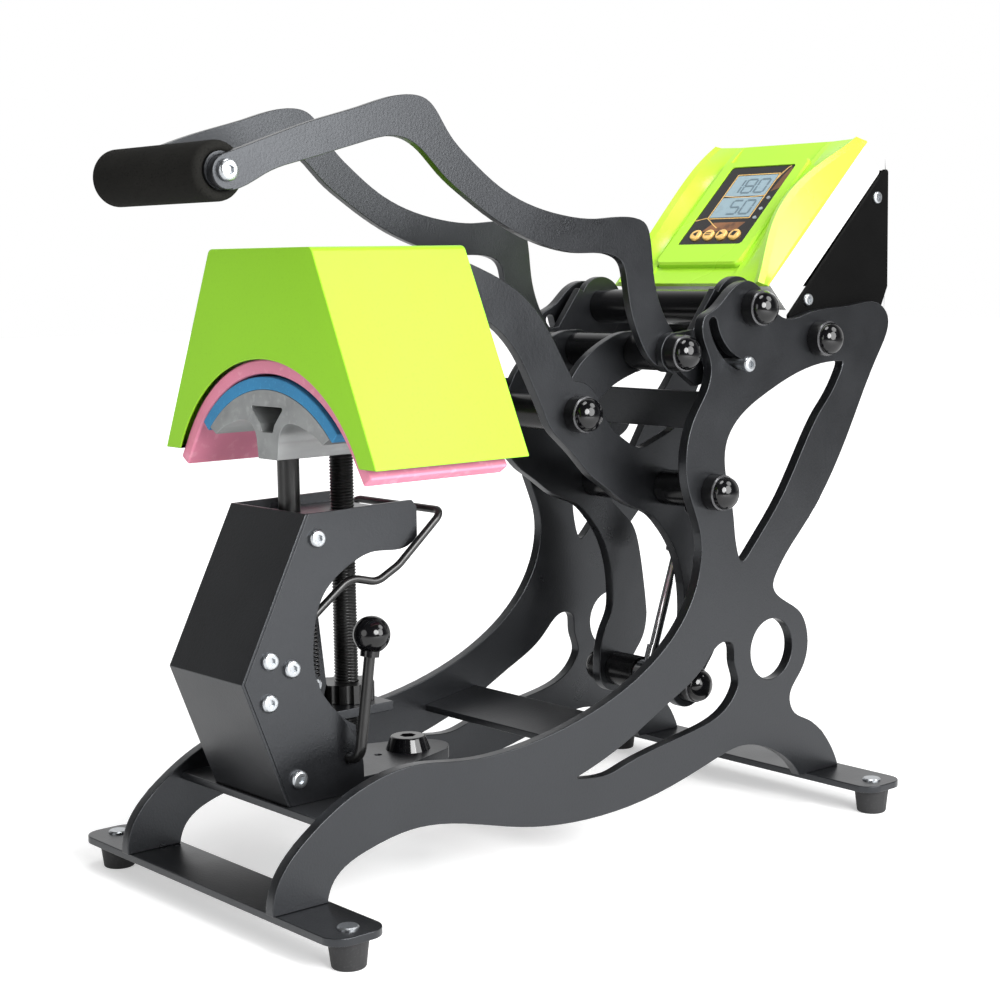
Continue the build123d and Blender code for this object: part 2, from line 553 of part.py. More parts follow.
def make_heater():
    """The heating mat, its curved back plate and the ribs that hang it on the platen arms."""
    mat = arch_band(MAT_R, BACK_R, MAT_ANGLE, MAT_TAIL)
    node("heating_mat", front_plate(mat, MAT_FRONT, MAT_REAR))

    back = front_plate(arch_band(BACK_R, BACK_R + BACK_T, MAT_ANGLE, BACK_TAIL), MAT_FRONT + 3, MAT_REAR - 1)
    foot = CAP_Z + math.sqrt(BACK_R ** 2 - ARM_IN ** 2)
    rib = Pos(0, (BACK_RIB_TOP + foot) / 2) * Rectangle(2 * ARM_IN, BACK_RIB_TOP - foot)
    rib -= disc((0, CAP_Z), 2 * BACK_R)
    for y in BACK_RIBS:
        back += front_plate(rib, y - BACK_RIB_T / 2, y + BACK_RIB_T / 2)
    node("heater_back", back)


def cover_face(grow):
    """The cover's front view, larger by grow on its top and sides."""
    lean = math.atan2(COVER_FOOT_X - COVER_TOP_X, COVER_TOP_Z - COVER_FOOT_Z)
    shift = grow / math.cos(lean)
    top_x = COVER_TOP_X + shift - grow * math.tan(lean)
    foot_x = COVER_FOOT_X + shift
    top_z = COVER_TOP_Z + grow
    corners = [(-foot_x, COVER_FOOT_Z), (-top_x, top_z), (top_x, top_z), (foot_x, COVER_FOOT_Z)]
    return make_face(Polyline(*corners, close=True))


def make_cover():
    solid = front_plate(cover_face(0), COVER_FRONT, COVER_REAR)
    hollow = front_plate(cover_face(-COVER_T), COVER_FRONT + COVER_T, COVER_REAR - COVER_T)
    outer_bends = solid.edges().filter_by(Axis.Y).group_by(Axis.Z)[-1]
    inner_bends = hollow.edges().filter_by(Axis.Y).group_by(Axis.Z)[-1]
    cover = fillet(outer_bends, COVER_BEND) - fillet(inner_bends, COVER_BEND - COVER_T)
    cover -= front_plate(disc((0, COVER_ARCH_Z), 2 * COVER_ARCH_R), COVER_FRONT - 1, COVER_REAR + 1)
    window = Rectangle(2 * (ARM_OUT + COVER_WINDOW_SIDE), COVER_WINDOW_TOP - COVER_WINDOW_Z)
    window = Pos(0, (COVER_WINDOW_TOP + COVER_WINDOW_Z) / 2) * window
    cover -= front_plate(window, COVER_REAR - 2 * COVER_T, COVER_REAR + 1)
    node("heater_cover", cover)


# ---- lower platen and its height screw ----------------------------------------------------------
def platen_face():
    """The extruded lower platen: a crown on a tapered stem, with an undercut screw channel."""
    edge_z = CAP_Z + math.sqrt(PLATEN_R ** 2 - PLATEN_EDGE_X ** 2)
    under = [(59, 293.5), (50, 298.5), (40, 302), (28, 304.5), (20, 303.5), (14, 298), (12, 291)]
    left = [(-x, z) for x, z in under]
    tip, left_tip = (PLATEN_EDGE_X, edge_z), (-PLATEN_EDGE_X, edge_z)
    stem, left_stem = (STEM_HALF, STEM_BOTTOM), (-STEM_HALF, STEM_BOTTOM)
    crown = ThreePointArc(left_tip, (0, CAP_Z + PLATEN_R), tip)
    sides = [Line(tip, under[0]), Spline(*under), Line(under[-1], stem), Line(stem, left_stem),
             Line(left_stem, left[-1]), Spline(*left), Line(left[0], left_tip)]
    groove = [(-18.4, 314), (18.4, 314), (8, 303), (5.7, 298), (-5.7, 298), (-8, 303)]
    groove = make_face(Polyline(*groove, close=True))
    return make_face([crown] + sides) - fillet(groove.vertices(), 1.2)


def upright(y, diameter, bottom, top):
    """A round bar that stands at y on the middle line."""
    return Pos(0, y, bottom) * Cylinder(diameter / 2, top - bottom, align=UP)


def make_platen():
    node("lower_platen", front_plate(platen_face(), PLATEN_FRONT, PLATEN_REAR))
    node("silicone_pad", front_plate(arch_band(PLATEN_R, PAD_R, PAD_ANGLE, 0), PLATEN_FRONT, PLATEN_REAR))
    node("guide_rod", upright(GUIDE_Y, GUIDE_D, SCREW_FOOT_Z, STEM_BOTTOM))
    node("height_screw", upright(SCREW_Y, SCREW_D, SCREW_FOOT_Z, STEM_BOTTOM))
    wheel = Cylinder(NUT_WHEEL_D / 2, NUT_WHEEL_T, align=UP)
    wheel -= Cylinder(SCREW_D / 2 + FIT, NUT_WHEEL_T, align=UP)
    wheel -= PolarLocations(NUT_WHEEL_D / 2 + 1, 12) * Cylinder(3, 3 * NUT_WHEEL_T)
    node("height_nut", Pos(0, SCREW_Y, LOW_PLATE_Z + SIDE_GAP) * wheel)


# ---- cap stand ----------------------------------------------------------------------------------
def stand_outline():
    rear = [(-108.8, 228.8), (-118.8, 222.2), (-145, 221.9), (-160, 216.9), (-172.5, 209.4), (-181.2, 201.2),
            (-187.5, 189), (-190.6, 172.5), (-191.2, 160), (-187.5, 143), (-181.2, 132.5), (-172.5, 122.5),
            (-162.5, 108.8), (-155, 87.5), (-155, BASE_TOP)]
    top = [STAND_TOP_FRONT, (-112.5, 251.9), (-108.8, 247.5), rear[0]]
    straight = [[top[i], top[i + 1]] for i in range(3)]
    last = [[rear[-1], STAND_TOE], [STAND_TOE, STAND_KNEE], [STAND_KNEE, STAND_TOP_FRONT]]
    curve = rear[:-1]
    return outline(*straight, curve, [rear[-2], rear[-1]], *last)


def make_stand():
    face = stand_outline()
    for bolt in STAND_BOLTS:
        face -= disc(bolt, STAND_SCREW_D)
    face -= disc(KNOB_SHAFT, KNOB_ROD_D + 2 * FIT)
    node("stand_sides", plate_pair(face, STAND_IN, STAND_T))

    path = [STAND_TOP_FRONT, STAND_KNEE, STAND_TOE]
    inner = make_face(Polyline(*path, (path[0][0], path[2][1]), close=True))
    outer = offset(inner, SHIELD_T, kind=Kind.INTERSECTION)
    band = outer - inner
    trim = Pos(-218, (STAND_TOP_FRONT[1] + BASE_TOP) / 2) * Rectangle(60, STAND_TOP_FRONT[1] - BASE_TOP)
    back_y = path[0][0] + 40
    right_of = make_face(Polyline(*path, (back_y, path[2][1]), (back_y, path[0][1]), close=True))
    node("stand_shield", side_plate((band & trim) - right_of, -STAND_OUT, STAND_WIDTH))

    top_face = Rectangle(2 * STAND_IN, TOP_PLATE_REAR - TOP_PLATE_FRONT)
    top_face = Pos(0, (TOP_PLATE_REAR + TOP_PLATE_FRONT) / 2) * top_face
    top_face -= disc((0, GUIDE_Y), GUIDE_D + 2 * FIT)
    top_face -= disc((0, SCREW_Y), SCREW_D + 2 * FIT)
    node("stand_top_plate", flat_plate(top_face, TOP_PLATE_Z, TOP_PLATE_T))

    shoulder, tip, half = -126, TONGUE_TIP - 10, 18
    toe = make_face(Polyline((-STAND_IN, STAND_TOE[0] + 4), (STAND_IN, STAND_TOE[0] + 4), (STAND_IN, shoulder),
                             (half, tip), (-half, tip), (-STAND_IN, shoulder), close=True))
    toe += disc((0, TONGUE_TIP - half), 2 * half)
    toe -= disc((0, TONGUE_HOLE_Y), STAND_SCREW_D)
    toe -= disc((0, TONGUE_SCREW_Y), ROD_D)
    node("stand_foot", flat_plate(toe, BASE_TOP + STAND_FOOT_T, STAND_FOOT_T))

    floor = BASE_TOP + STAND_FOOT_T
    cheek = make_face(Polyline((-226, 168), (-186, 198), (-178, 194), (-172, 140), (-176, 126), (-150, 110),
                               (-150, floor), (-206, floor), (-228, 130), close=True))
    cheek -= disc(BAIL_PIVOT, STAND_SCREW_D)
    cheek -= disc(KNOB_SHAFT, KNOB_ROD_D + 2 * FIT)
    cheek -= disc((SPRING_FOOT_Y, SPRING_FOOT_Z), STAND_SCREW_D)
    low = Pos(0, (GUIDE_Y + SCREW_Y) / 2) * Rectangle(2 * CHEEK_X, 80)
    low -= disc((0, GUIDE_Y), GUIDE_D + 2 * FIT)
    low -= disc((0, SCREW_Y), SCREW_D + 2)
    cheeks = plate_pair(cheek, CHEEK_X, CHEEK_T)
    node("stand_cradle", cheeks[0] + flat_plate(low, LOW_PLATE_Z, TOP_PLATE_T) + cheeks[1])


def make_screws():
    """Button head screws of the stand, cradle and bracket, and the conical screw of the stand's foot."""
    screws = []
    for bolt in STAND_BOLTS:
        screws += pair(side_screw(bolt, STAND_OUT, STAND_T, STAND_SCREW_D, STAND_HEAD_D, STAND_HEAD_H))
    hook = (SPRING_FOOT_Y, SPRING_FOOT_Z)
    screws += pair(side_screw(hook, CHEEK_X + CHEEK_T, CHEEK_T, STAND_SCREW_D, 9, 2.6))
    for hole in BRACKET_SCREWS:
        screws += pair(side_screw(hole, FRAME_IN, BRACKET_T, STAND_SCREW_D, BRACKET_HEAD_D, 2.5))
    node("button_head_screws", screws)
    boss = Cone(CLAMP_FOOT_D / 2, CLAMP_TOP_D / 2, CLAMP_H, align=UP)
    boss = fillet(boss.edges().group_by(Axis.Z)[-1], CLAMP_H / 6)
    boss -= Pos(0, 0, CLAMP_H / 3) * extrude(RegularPolygon(CLAMP_SOCKET / 2, 6), amount=CLAMP_H)
    shank = Cylinder(ROD_D / 2, STAND_FOOT_T + BASE_T, align=DOWN)
    node("foot_clamp_screw", Pos(0, TONGUE_SCREW_Y, BASE_TOP + STAND_FOOT_T) * (boss + shank))


# ---- wire bail, its springs and the knob lever --------------------------------------------------
def wire(points, radii, diameter):
    """A round bar along straight runs with rounded corners."""
    path = FilletPolyline(*points, radius=radii)
    start = Plane(origin=path @ 0, z_dir=path % 0)
    return sweep(start * Circle(diameter / 2), path=path)


def make_bail():
    leg = [(BAIL_LEG_X, BAIL_PIVOT_Y + 1, BAIL_PIVOT_Z + 1.4), (BAIL_LEG_X, -189.5, 183),
           (BAIL_LEG_X + 3, -160, 207), (BAIL_LEG_X + 6, -141, 202.5), (BAIL_LEG_X + 9, -126, 212),
           (BAIL_BAR_X, -92.5, 243.8)]
    other = [(-x, y, z) for x, y, z in reversed(leg)]
    bail = wire(leg + other, [30, 14, 12, 22, 7, 7, 22, 12, 14, 30], BAIL_D)
    for eye in pair(rod(BAIL_PIVOT, BAIL_EYE_D, CHEEK_X + CHEEK_T + SIDE_GAP, STAND_IN - SIDE_GAP)):
        bail += eye
    node("wire_bail", bail - rod(BAIL_PIVOT, STAND_SCREW_D + 2 * FIT, -STAND_IN, STAND_IN))
    node("bail_axle", rod(BAIL_PIVOT, STAND_SCREW_D, -STAND_IN, STAND_IN))


def make_knob_lever():
    run = KNOB_X - (CHEEK_X - CAM_T)
    low = (KNOB_X, KNOB_SHAFT_Y, KNOB_SHAFT_Z)
    points = [(KNOB_X - run, KNOB_SHAFT_Y, KNOB_SHAFT_Z), low, (KNOB_X, KNOB_Y, KNOB_Z)]
    rod_piece = wire(points, 9, KNOB_ROD_D)
    cam = Pos(-CAM_THROW, CAM_THROW / 2) * Circle(CAM_D / 2) + Circle(CAM_HUB_D / 2)
    cam = side_plate(Pos(*KNOB_SHAFT) * cam, CHEEK_X - CAM_T - SIDE_GAP, CAM_T)
    node("knob_lever", rod_piece + cam)
    ball = Pos(KNOB_X, KNOB_Y, KNOB_Z) * Sphere(KNOB_D / 2)
    lean = math.degrees(math.atan2(KNOB_Y - KNOB_SHAFT_Y, KNOB_Z - KNOB_SHAFT_Z))
    collar = Cylinder(KNOB_NECK_D / 2, KNOB_NECK, align=DOWN)
    ball += Pos(KNOB_X, KNOB_Y, KNOB_Z) * Rot(-lean, 0, 0) * Pos(0, 0, -KNOB_D / 2 + 2) * collar
    node("lever_knob", ball - rod_piece)


# ---- gas spring ---------------------------------------------------------------------------------
def make_gas_spring():
    length = math.dist(GAS_FOOT, GAS_TOP)
    lean = math.degrees(math.atan2(GAS_TOP_Y - GAS_FOOT_Y, GAS_TOP_Z - GAS_FOOT_Z))
    place = Pos(0, *GAS_FOOT) * Rot(-lean, 0, 0)
    seat = ROD_D / 2 + GAS_EYE_WALL
    stub = Cylinder(GAS_STUB_D / 2, GAS_STUB, align=UP)
    eye = Rot(0, 90, 0) * Cylinder(seat, GAS_EYE_T)
    bore = Rot(0, 90, 0) * Cylinder(ROD_D / 2 + FIT, 2 * GAS_EYE_T)
    rod_end = length - GAS_PISTON_STOP
    chrome = Pos(0, 0, seat) * Cylinder(GAS_ROD_D / 2, rod_end - seat, align=UP)
    node("gas_piston", place * (eye + Pos(0, 0, seat - 3) * stub + chrome - bore))

    top_seat = ROD_D / 2 + GAS_OPEN_PLAY + GAS_TOP_WALL
    body = Cylinder(GAS_TUBE_D / 2, length - top_seat - 4 - GAS_ROD_SHOWN, align=UP)
    body = fillet(body.edges().group_by(Axis.Z)[0], 2)
    body = fillet(body.edges().group_by(Axis.Z)[-1], 3)
    tall = length - top_seat - GAS_ROD_SHOWN
    room = Cylinder(GAS_ROD_D / 2 + FIT, tall - 12, align=UP)
    neck = Pos(0, 0, tall - 6) * Cylinder(6, 8, align=UP)
    tube_solid = Pos(0, 0, GAS_ROD_SHOWN) * (body + neck - room)
    top_eye = Pos(0, 0, length) * Rot(0, 90, 0) * Cylinder(top_seat, GAS_EYE_T)
    top_bore = Pos(0, 0, length) * Rot(0, 90, 0) * Cylinder(ROD_D / 2 + GAS_OPEN_PLAY, 2 * GAS_EYE_T)
    node("gas_cylinder", place * (tube_solid + top_eye - top_bore))


# ---- controller ---------------------------------------------------------------------------------
def on_box(x, s, h):
    """A place on the controller: x across, s up the slope, h out of its mounting plane."""
    slope = math.radians(BOX_SLOPE)
    origin = (0, BOX_Y, BOX_Z)
    plane = Plane(origin=origin, x_dir=(1, 0, 0), z_dir=(0, -math.sin(slope), math.cos(slope)))
    return plane * Pos(x, s, h)


def ridge_section(s, crest_inset, crest_h, edge_h, flank_h):
    """Half of the fascia's wing, cut across the slope at s."""
    crest_x = BOX_HALF - crest_inset
    foot_x = FASCIA_HALF - 1
    points = [(foot_x, 0), (foot_x, edge_h), (foot_x + 5, edge_h), (crest_x - 5, crest_h - 2),
              (crest_x, crest_h), (crest_x + 4, crest_h - 3), (BOX_HALF, flank_h), (BOX_HALF, 0)]
    across = Plane(origin=(0, s, 0), x_dir=(1, 0, 0), z_dir=(0, -1, 0))
    return across * make_face(Polyline(*points, close=True))


def make_controller():
    """The moulded fascia with its display, lamps and keys, and the case and board behind it."""
    wing = loft([ridge_section(0, 7, 5, 3, 1.5),
                 ridge_section(0.2 * BOX_LENGTH, 14, 12, 5, 2.5),
                 ridge_section(0.45 * BOX_LENGTH, 19.4, 18, 6, 3),
                 ridge_section(0.7 * BOX_LENGTH, 15, 16, 6, 3),
                 ridge_section(BOX_LENGTH, 7, 6, 3, 1.5)])
    deck = extrude(Pos(0, BOX_LENGTH / 2) * Rectangle(2 * FASCIA_HALF, BOX_LENGTH), amount=DECK_T)
    screen = RectangleRounded(2 * FASCIA_HALF, FASCIA_HEAD - FASCIA_FOOT, 6)
    screen = extrude(Pos(0, (FASCIA_FOOT + FASCIA_HEAD) / 2) * screen, amount=FASCIA_H)
    screen = chamfer(screen.edges().group_by(Axis.Z)[-1], 1.5)
    pocket = RectangleRounded(2 * PANEL_HALF, PANEL_HEAD - PANEL_FOOT, 3)
    pocket = Pos(0, (PANEL_FOOT + PANEL_HEAD) / 2) * pocket
    floor_h = FASCIA_H - PANEL_T - PANEL_RECESS
    fascia = deck + screen + pair(wing) - Pos(0, 0, floor_h) * extrude(pocket, amount=FASCIA_H)
    panel = extrude(pocket, amount=PANEL_T)
    key_places = [(BUTTON_PITCH * (i - 1.5), BUTTON_S) for i in range(4)]
    for x, s in key_places:
        cut = Pos(x, s, 0) * Cylinder(BUTTON_D / 2 + BUTTON_HOLE, 60)
        fascia -= cut
        panel -= cut
    lamps = []
    for s in LAMP_PLACES:
        hole = Pos(LAMP_X, s, 0) * Cylinder(LAMP_D / 2, 60)
        fascia -= hole
        panel -= hole
        lamps.append(on_box(LAMP_X, s, 0) * Cylinder(LAMP_D / 2, FASCIA_H, align=UP))
    node("controller_fascia", on_box(0, 0, 0) * fascia)
    node("display_panel", on_box(0, 0, floor_h) * panel)
    node("indicator_lamps", lamps)
    key_foot = 2
    for i, (x, s) in enumerate(key_places):
        button = Cylinder(BUTTON_D / 2, FASCIA_H + BUTTON_PROUD - key_foot, align=UP)
        button = fillet(button.edges().group_by(Axis.Z)[-1], 1)
        node(f"button_{i + 1}", on_box(x, s, key_foot) * button)

    length = BOX_LENGTH - BOX_SHORT
    case = on_box(0, BOX_LENGTH / 2, 0) * fillet(
        Box(CASE_WIDTH, length, BOX_DEPTH, align=DOWN).edges().group_by(Axis.Z)[0], 4)
    room_x, room_y, room_z = CASE_WIDTH - 2 * BOX_WALL, length - 2 * BOX_WALL, BOX_DEPTH - BOX_WALL
    node("controller_case", case - on_box(0, BOX_LENGTH / 2, 0) * Box(room_x, room_y, room_z, align=DOWN))
    board_h, board_t = -12, 1.6
    board = Pos(0, BOX_LENGTH / 2, board_h) * Box(room_x, room_y, board_t)
    relay_h = room_z + board_h - board_t / 2
    board += Pos(30, 60, board_h - board_t / 2) * Box(30, 24, relay_h, align=DOWN)
    node("control_board", on_box(0, 0, 0) * board)


def make_bracket():
    cheek = make_face(Polyline((BRACKET_REAR, 468), (BRACKET_REAR, BRACKET_FOOT), (BRACKET_REAR - 13, 352),
                               (214, 352), (200.5, 357.7), close=True))
    cheek = fillet(cheek.vertices(), 2.5) + disc(GAS_TOP, BRACKET_LOBE_D) - disc(GAS_TOP, ROD_D)
    for hole in BRACKET_SCREWS:
        cheek -= disc(hole, STAND_SCREW_D)
    cheeks = plate_pair(cheek, FRAME_IN - BRACKET_T, BRACKET_T)
    back = Rectangle(CASE_WIDTH, BRACKET_HEAD - BRACKET_FOOT)
    back = Pos(0, (BRACKET_FOOT + BRACKET_HEAD) / 2) * back
    back -= Pos(INLET_X, INLET_Z) * Rectangle(INLET_WIDTH, INLET_HEIGHT)
    back = front_plate(back, BRACKET_REAR - BRACKET_T, BRACKET_REAR)
    node("controller_bracket", cheeks[0] + cheeks[1] + back)


def make_inlet():
    """Mains inlet with its rocker switch in one moulded housing."""
    centre = Pos(INLET_X, INLET_Z)
    body = centre * Rectangle(INLET_WIDTH, INLET_HEIGHT)
    body = front_plate(body, BRACKET_REAR - INLET_DEPTH, BRACKET_REAR)
    lip = RectangleRounded(INLET_WIDTH + 8, INLET_HEIGHT + 5, 4)
    body += front_plate(centre * lip, BRACKET_REAR, BRACKET_REAR + INLET_LIP)
    socket = centre * Pos(-INLET_WIDTH / 4 + 3, 0)
    mouth = socket * RectangleRounded(SOCKET_WIDTH, SOCKET_HEIGHT, 2.5)
    body -= front_plate(mouth, BRACKET_REAR - SOCKET_DEPTH, BRACKET_REAR + INLET_LIP)
    for place in SOCKET_PINS:
        pin = socket * Pos(*place) * Rectangle(2, 4)
        body += front_plate(pin, BRACKET_REAR - SOCKET_DEPTH, BRACKET_REAR - 3)
    switch_x = INLET_X + INLET_WIDTH / 4 + 2.5
    window = Pos(switch_x, INLET_Z) * Rectangle(ROCKER_WIDTH + 1, ROCKER_LENGTH + 4)
    body -= front_plate(window, BRACKET_REAR - 14, BRACKET_REAR + INLET_LIP)
    pivot = (BRACKET_REAR - 3, INLET_Z)
    half = ROCKER_WIDTH / 2
    body += rod(pivot, ROCKER_PIN_D, switch_x - half - 1, switch_x + half + 1)
    node("power_inlet", body)

    reach = ROCKER_LENGTH / 2
    half_section = [(5.2, reach), (3.5, reach), (-5, 5)]
    other_half = [(y, -z) for y, z in reversed(half_section)]
    face = make_face(Polyline((4, 0), *half_section, *other_half, close=True))
    face = Pos(*pivot) * Rot(0, 0, ROCKER_TILT) * face - disc(pivot, ROCKER_PIN_D + 2 * FIT)
    node("power_switch", side_plate(face, switch_x - half, ROCKER_WIDTH))


def make_bail_springs():
    """Tension springs between the wire bail and the cradle, and the screws they hang from."""
    turns = 12
    foot_y, foot_z = SPRING_FOOT_Y, SPRING_FOOT_Z
    length = SPRING_LENGTH
    outer, inner = SPRING_D / 2, SPRING_D / 2 - 0.7
    rim = []
    for i in range(turns):
        z = length * i / turns
        rim += [(inner, z), (outer, z + length / turns / 2)]
    profile = make_face(Polyline((0, 0), *rim, (inner, length), (0, length), close=True))
    spring = revolve(Plane.XZ * profile, Axis.Z)
    x = CHEEK_X + CHEEK_T + SIDE_GAP + SPRING_D / 2
    spring = Pos(x, foot_y, foot_z + 5) * Rot(SPRING_LEAN, 0, 0) * spring
    node("bail_springs", pair(spring))


make_frame()
make_feet()
make_rods()
make_lever()
make_links()
make_arms()
make_heater()
make_cover()
make_platen()
make_stand()
make_screws()
make_bail()
make_knob_lever()
make_gas_spring()
make_controller()
make_bracket()
make_inlet()
make_bail_springs()
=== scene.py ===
import bmesh
import bpy
import math
from mathutils import Matrix, Vector


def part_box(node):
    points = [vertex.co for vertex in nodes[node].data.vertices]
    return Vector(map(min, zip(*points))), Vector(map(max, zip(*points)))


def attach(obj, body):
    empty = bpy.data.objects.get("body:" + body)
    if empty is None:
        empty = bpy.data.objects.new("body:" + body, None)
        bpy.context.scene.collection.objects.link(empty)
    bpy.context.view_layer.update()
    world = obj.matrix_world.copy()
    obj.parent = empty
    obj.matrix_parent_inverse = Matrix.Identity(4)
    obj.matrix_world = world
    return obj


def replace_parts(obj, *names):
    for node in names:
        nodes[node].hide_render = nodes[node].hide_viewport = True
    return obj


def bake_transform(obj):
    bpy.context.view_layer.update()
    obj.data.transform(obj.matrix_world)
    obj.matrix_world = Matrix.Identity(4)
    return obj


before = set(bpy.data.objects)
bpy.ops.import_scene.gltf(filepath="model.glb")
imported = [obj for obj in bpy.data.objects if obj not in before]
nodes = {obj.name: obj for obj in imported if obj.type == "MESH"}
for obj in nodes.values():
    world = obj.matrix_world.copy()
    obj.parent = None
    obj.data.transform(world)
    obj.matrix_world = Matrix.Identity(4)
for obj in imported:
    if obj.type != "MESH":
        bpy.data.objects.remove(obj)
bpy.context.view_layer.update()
MM = 0.001

# ---- Camera: eye level a little over the handle, to the right of the front -----------------------
camera_right = Vector((0.6488732, 0.7607503, -0.0149171))
camera_up = Vector((-0.0828256, 0.0901061, 0.9924821))
camera_back = camera_right.cross(camera_up)
camera = bpy.data.objects.new("camera", bpy.data.cameras.new("camera"))
camera.data.lens = 71.09
camera.data.sensor_width = 36
camera.data.clip_start = 0.05
turn = Matrix((camera_right, camera_up, camera_back)).transposed().to_4x4()
camera.matrix_world = Matrix.Translation((1.0247, -0.8749, 0.4031)) @ turn
bpy.context.scene.collection.objects.link(camera)
bpy.context.scene.camera = camera
bpy.context.scene.view_settings.view_transform = "Standard"


# ---- Studio: a white floor and sweep under five soft round lamps -------------------------------------
# The key and the side lamp stand on the right, the fill in front, and two weaker ones above.
def soft_lamp(name, place, aim, size, power):
    lamp = bpy.data.objects.new(name, bpy.data.lights.new(name, "AREA"))
    lamp.data.shape = "DISK"
    lamp.data.size = size
    lamp.data.energy = power
    lamp.location = place
    lamp.rotation_euler = (Vector(place) - Vector(aim)).to_track_quat("Z", "Y").to_euler()
    bpy.context.scene.collection.objects.link(lamp)


middle = (0, 0, 0.25)
soft_lamp("key_lamp", (1.9, -0.35, 0.9), middle, 1.0, 45)
soft_lamp("side_lamp", (1.75, 0.53, 0.72), middle, 1.2, 27)
soft_lamp("fill_lamp", (0.2, -2.4, 0.8), middle, 1.5, 13.5)
soft_lamp("high_lamp", (1.2, 0.95, 1.5), middle, 0.9, 12)
soft_lamp("top_lamp", (0.25, -0.15, 1.9), middle, 0.8, 13)

world = bpy.data.worlds.new("studio")
bpy.context.scene.world = world
world.use_nodes = True
tree = world.node_tree


def math_node(tree, operation, *values):
    """A Math node whose inputs are sockets or plain numbers; its result."""
    made = tree.nodes.new("ShaderNodeMath")
    made.operation = operation
    for socket, value in zip(made.inputs, values):
        if isinstance(value, (int, float)):
            socket.default_value = value
        else:
            tree.links.new(value, socket)
    return made.outputs[0]


def range_node(tree, value, low, high, to_low=0.0, to_high=1.0, smooth=False):
    """A Map Range node from a socket; its result."""
    made = tree.nodes.new("ShaderNodeMapRange")
    made.interpolation_type = "SMOOTHSTEP" if smooth else "LINEAR"
    made.inputs["From Min"].default_value = low
    made.inputs["From Max"].default_value = high
    made.inputs["To Min"].default_value = to_low
    made.inputs["To Max"].default_value = to_high
    tree.links.new(value, made.inputs["Value"])
    return made.outputs["Result"]


# The white sweep hangs behind and to the left. The rest of the room is dark in reflections.
path = tree.nodes.new("ShaderNodeLightPath")
heading = tree.nodes.new("ShaderNodeTexCoord")
towards = tree.nodes.new("ShaderNodeVectorMath")
towards.operation = "DOT_PRODUCT"
towards.inputs[1].default_value = (-0.72, 0.68, -0.1)
tree.links.new(heading.outputs["Generated"], towards.inputs[0])
DARK_ROOM, BOUNCE = 0.07, 0.34
sweep = range_node(tree, towards.outputs["Value"], 0.1, 0.75, DARK_ROOM, 1.0, smooth=True)
seen = math_node(tree, "MAXIMUM", path.outputs["Is Camera Ray"], path.outputs["Is Transmission Ray"])
mirrored = math_node(tree, "MULTIPLY", path.outputs["Is Glossy Ray"], sweep)
spread = math_node(tree, "MULTIPLY", path.outputs["Is Diffuse Ray"], BOUNCE)
level = math_node(tree, "MAXIMUM", math_node(tree, "MAXIMUM", seen, mirrored), spread)
tree.links.new(level, tree.nodes["Background"].inputs["Strength"])
tree.nodes["Background"].inputs["Color"].default_value = (1, 1, 1, 1)

bm = bmesh.new()
FLOOR_HALF = 9.0
bmesh.ops.create_grid(bm, x_segments=1, y_segments=1, size=FLOOR_HALF)
floor_mesh = bpy.data.meshes.new("floor")
bm.to_mesh(floor_mesh)
bm.free()
floor = bpy.data.objects.new("floor", floor_mesh)
bpy.context.scene.collection.objects.link(floor)
floor_paint = bpy.data.materials.new("floor_paint")
floor_paint.use_nodes = True
tree = floor_paint.node_tree
shader = tree.nodes["Principled BSDF"]
shader.inputs["Base Color"].default_value = (0.8, 0.8, 0.8, 1)
shader.inputs["Roughness"].default_value = 0.9
shader.inputs["Specular IOR Level"].default_value = 0.1
shader.inputs["Emission Color"].default_value = (1, 1, 1, 1)
place = tree.nodes.new("ShaderNodeTexCoord")
away = tree.nodes.new("ShaderNodeVectorMath")
away.operation = "LENGTH"
tree.links.new(place.outputs["Object"], away.inputs[0])
# It glows less near the object, which keeps a faint shadow there.
SHADOW_REACH, CLEAR_REACH, NEAR_GLOW = 0.35, 1.5, 0.42
glow = range_node(tree, away.outputs["Value"], SHADOW_REACH, CLEAR_REACH, NEAR_GLOW, 1.0, smooth=True)
path = tree.nodes.new("ShaderNodeLightPath")
apart = tree.nodes.new("ShaderNodeSeparateXYZ")
tree.links.new(place.outputs["Object"], apart.inputs[0])
# In reflections the floor goes dark to the right, where the white paper ends.
PAPER_FROM, PAPER_TO, PAPER_GLOW = 0.12, 0.6, 0.5
paper = range_node(tree, apart.outputs["X"], PAPER_FROM, PAPER_TO, PAPER_GLOW, 0.0, smooth=True)
looked_at = math_node(tree, "MAXIMUM", path.outputs["Is Camera Ray"], path.outputs["Is Transmission Ray"])
mirrored = math_node(tree, "MULTIPLY", path.outputs["Is Glossy Ray"], paper)
looked_at = math_node(tree, "MAXIMUM", looked_at, mirrored)
tree.links.new(math_node(tree, "MULTIPLY", looked_at, glow), shader.inputs["Emission Strength"])
floor_mesh.materials.append(floor_paint)


# ---- Side frames, straps and base plate ------------------------------------------------------------
# Laser-cut mild steel plate, 8 mm in the frames and 5 mm in the straps, with broken edges.
# The straps and the base plate are welded between the frames before the lot is powder coated.
def material(name, colour, metallic=0.0, roughness=0.5, specular=0.5, coat=0.0):
    """A material with its Principled node set, and that node."""
    made = bpy.data.materials.new(name)
    made.use_nodes = True
    bsdf = made.node_tree.nodes["Principled BSDF"]
    bsdf.inputs["Base Color"].default_value = (*colour, 1)
    bsdf.inputs["Metallic"].default_value = metallic
    bsdf.inputs["Roughness"].default_value = roughness
    bsdf.inputs["Specular IOR Level"].default_value = specular
    bsdf.inputs["Coat Weight"].default_value = coat
    bsdf.inputs["Coat Roughness"].default_value = 0.08
    return made, bsdf


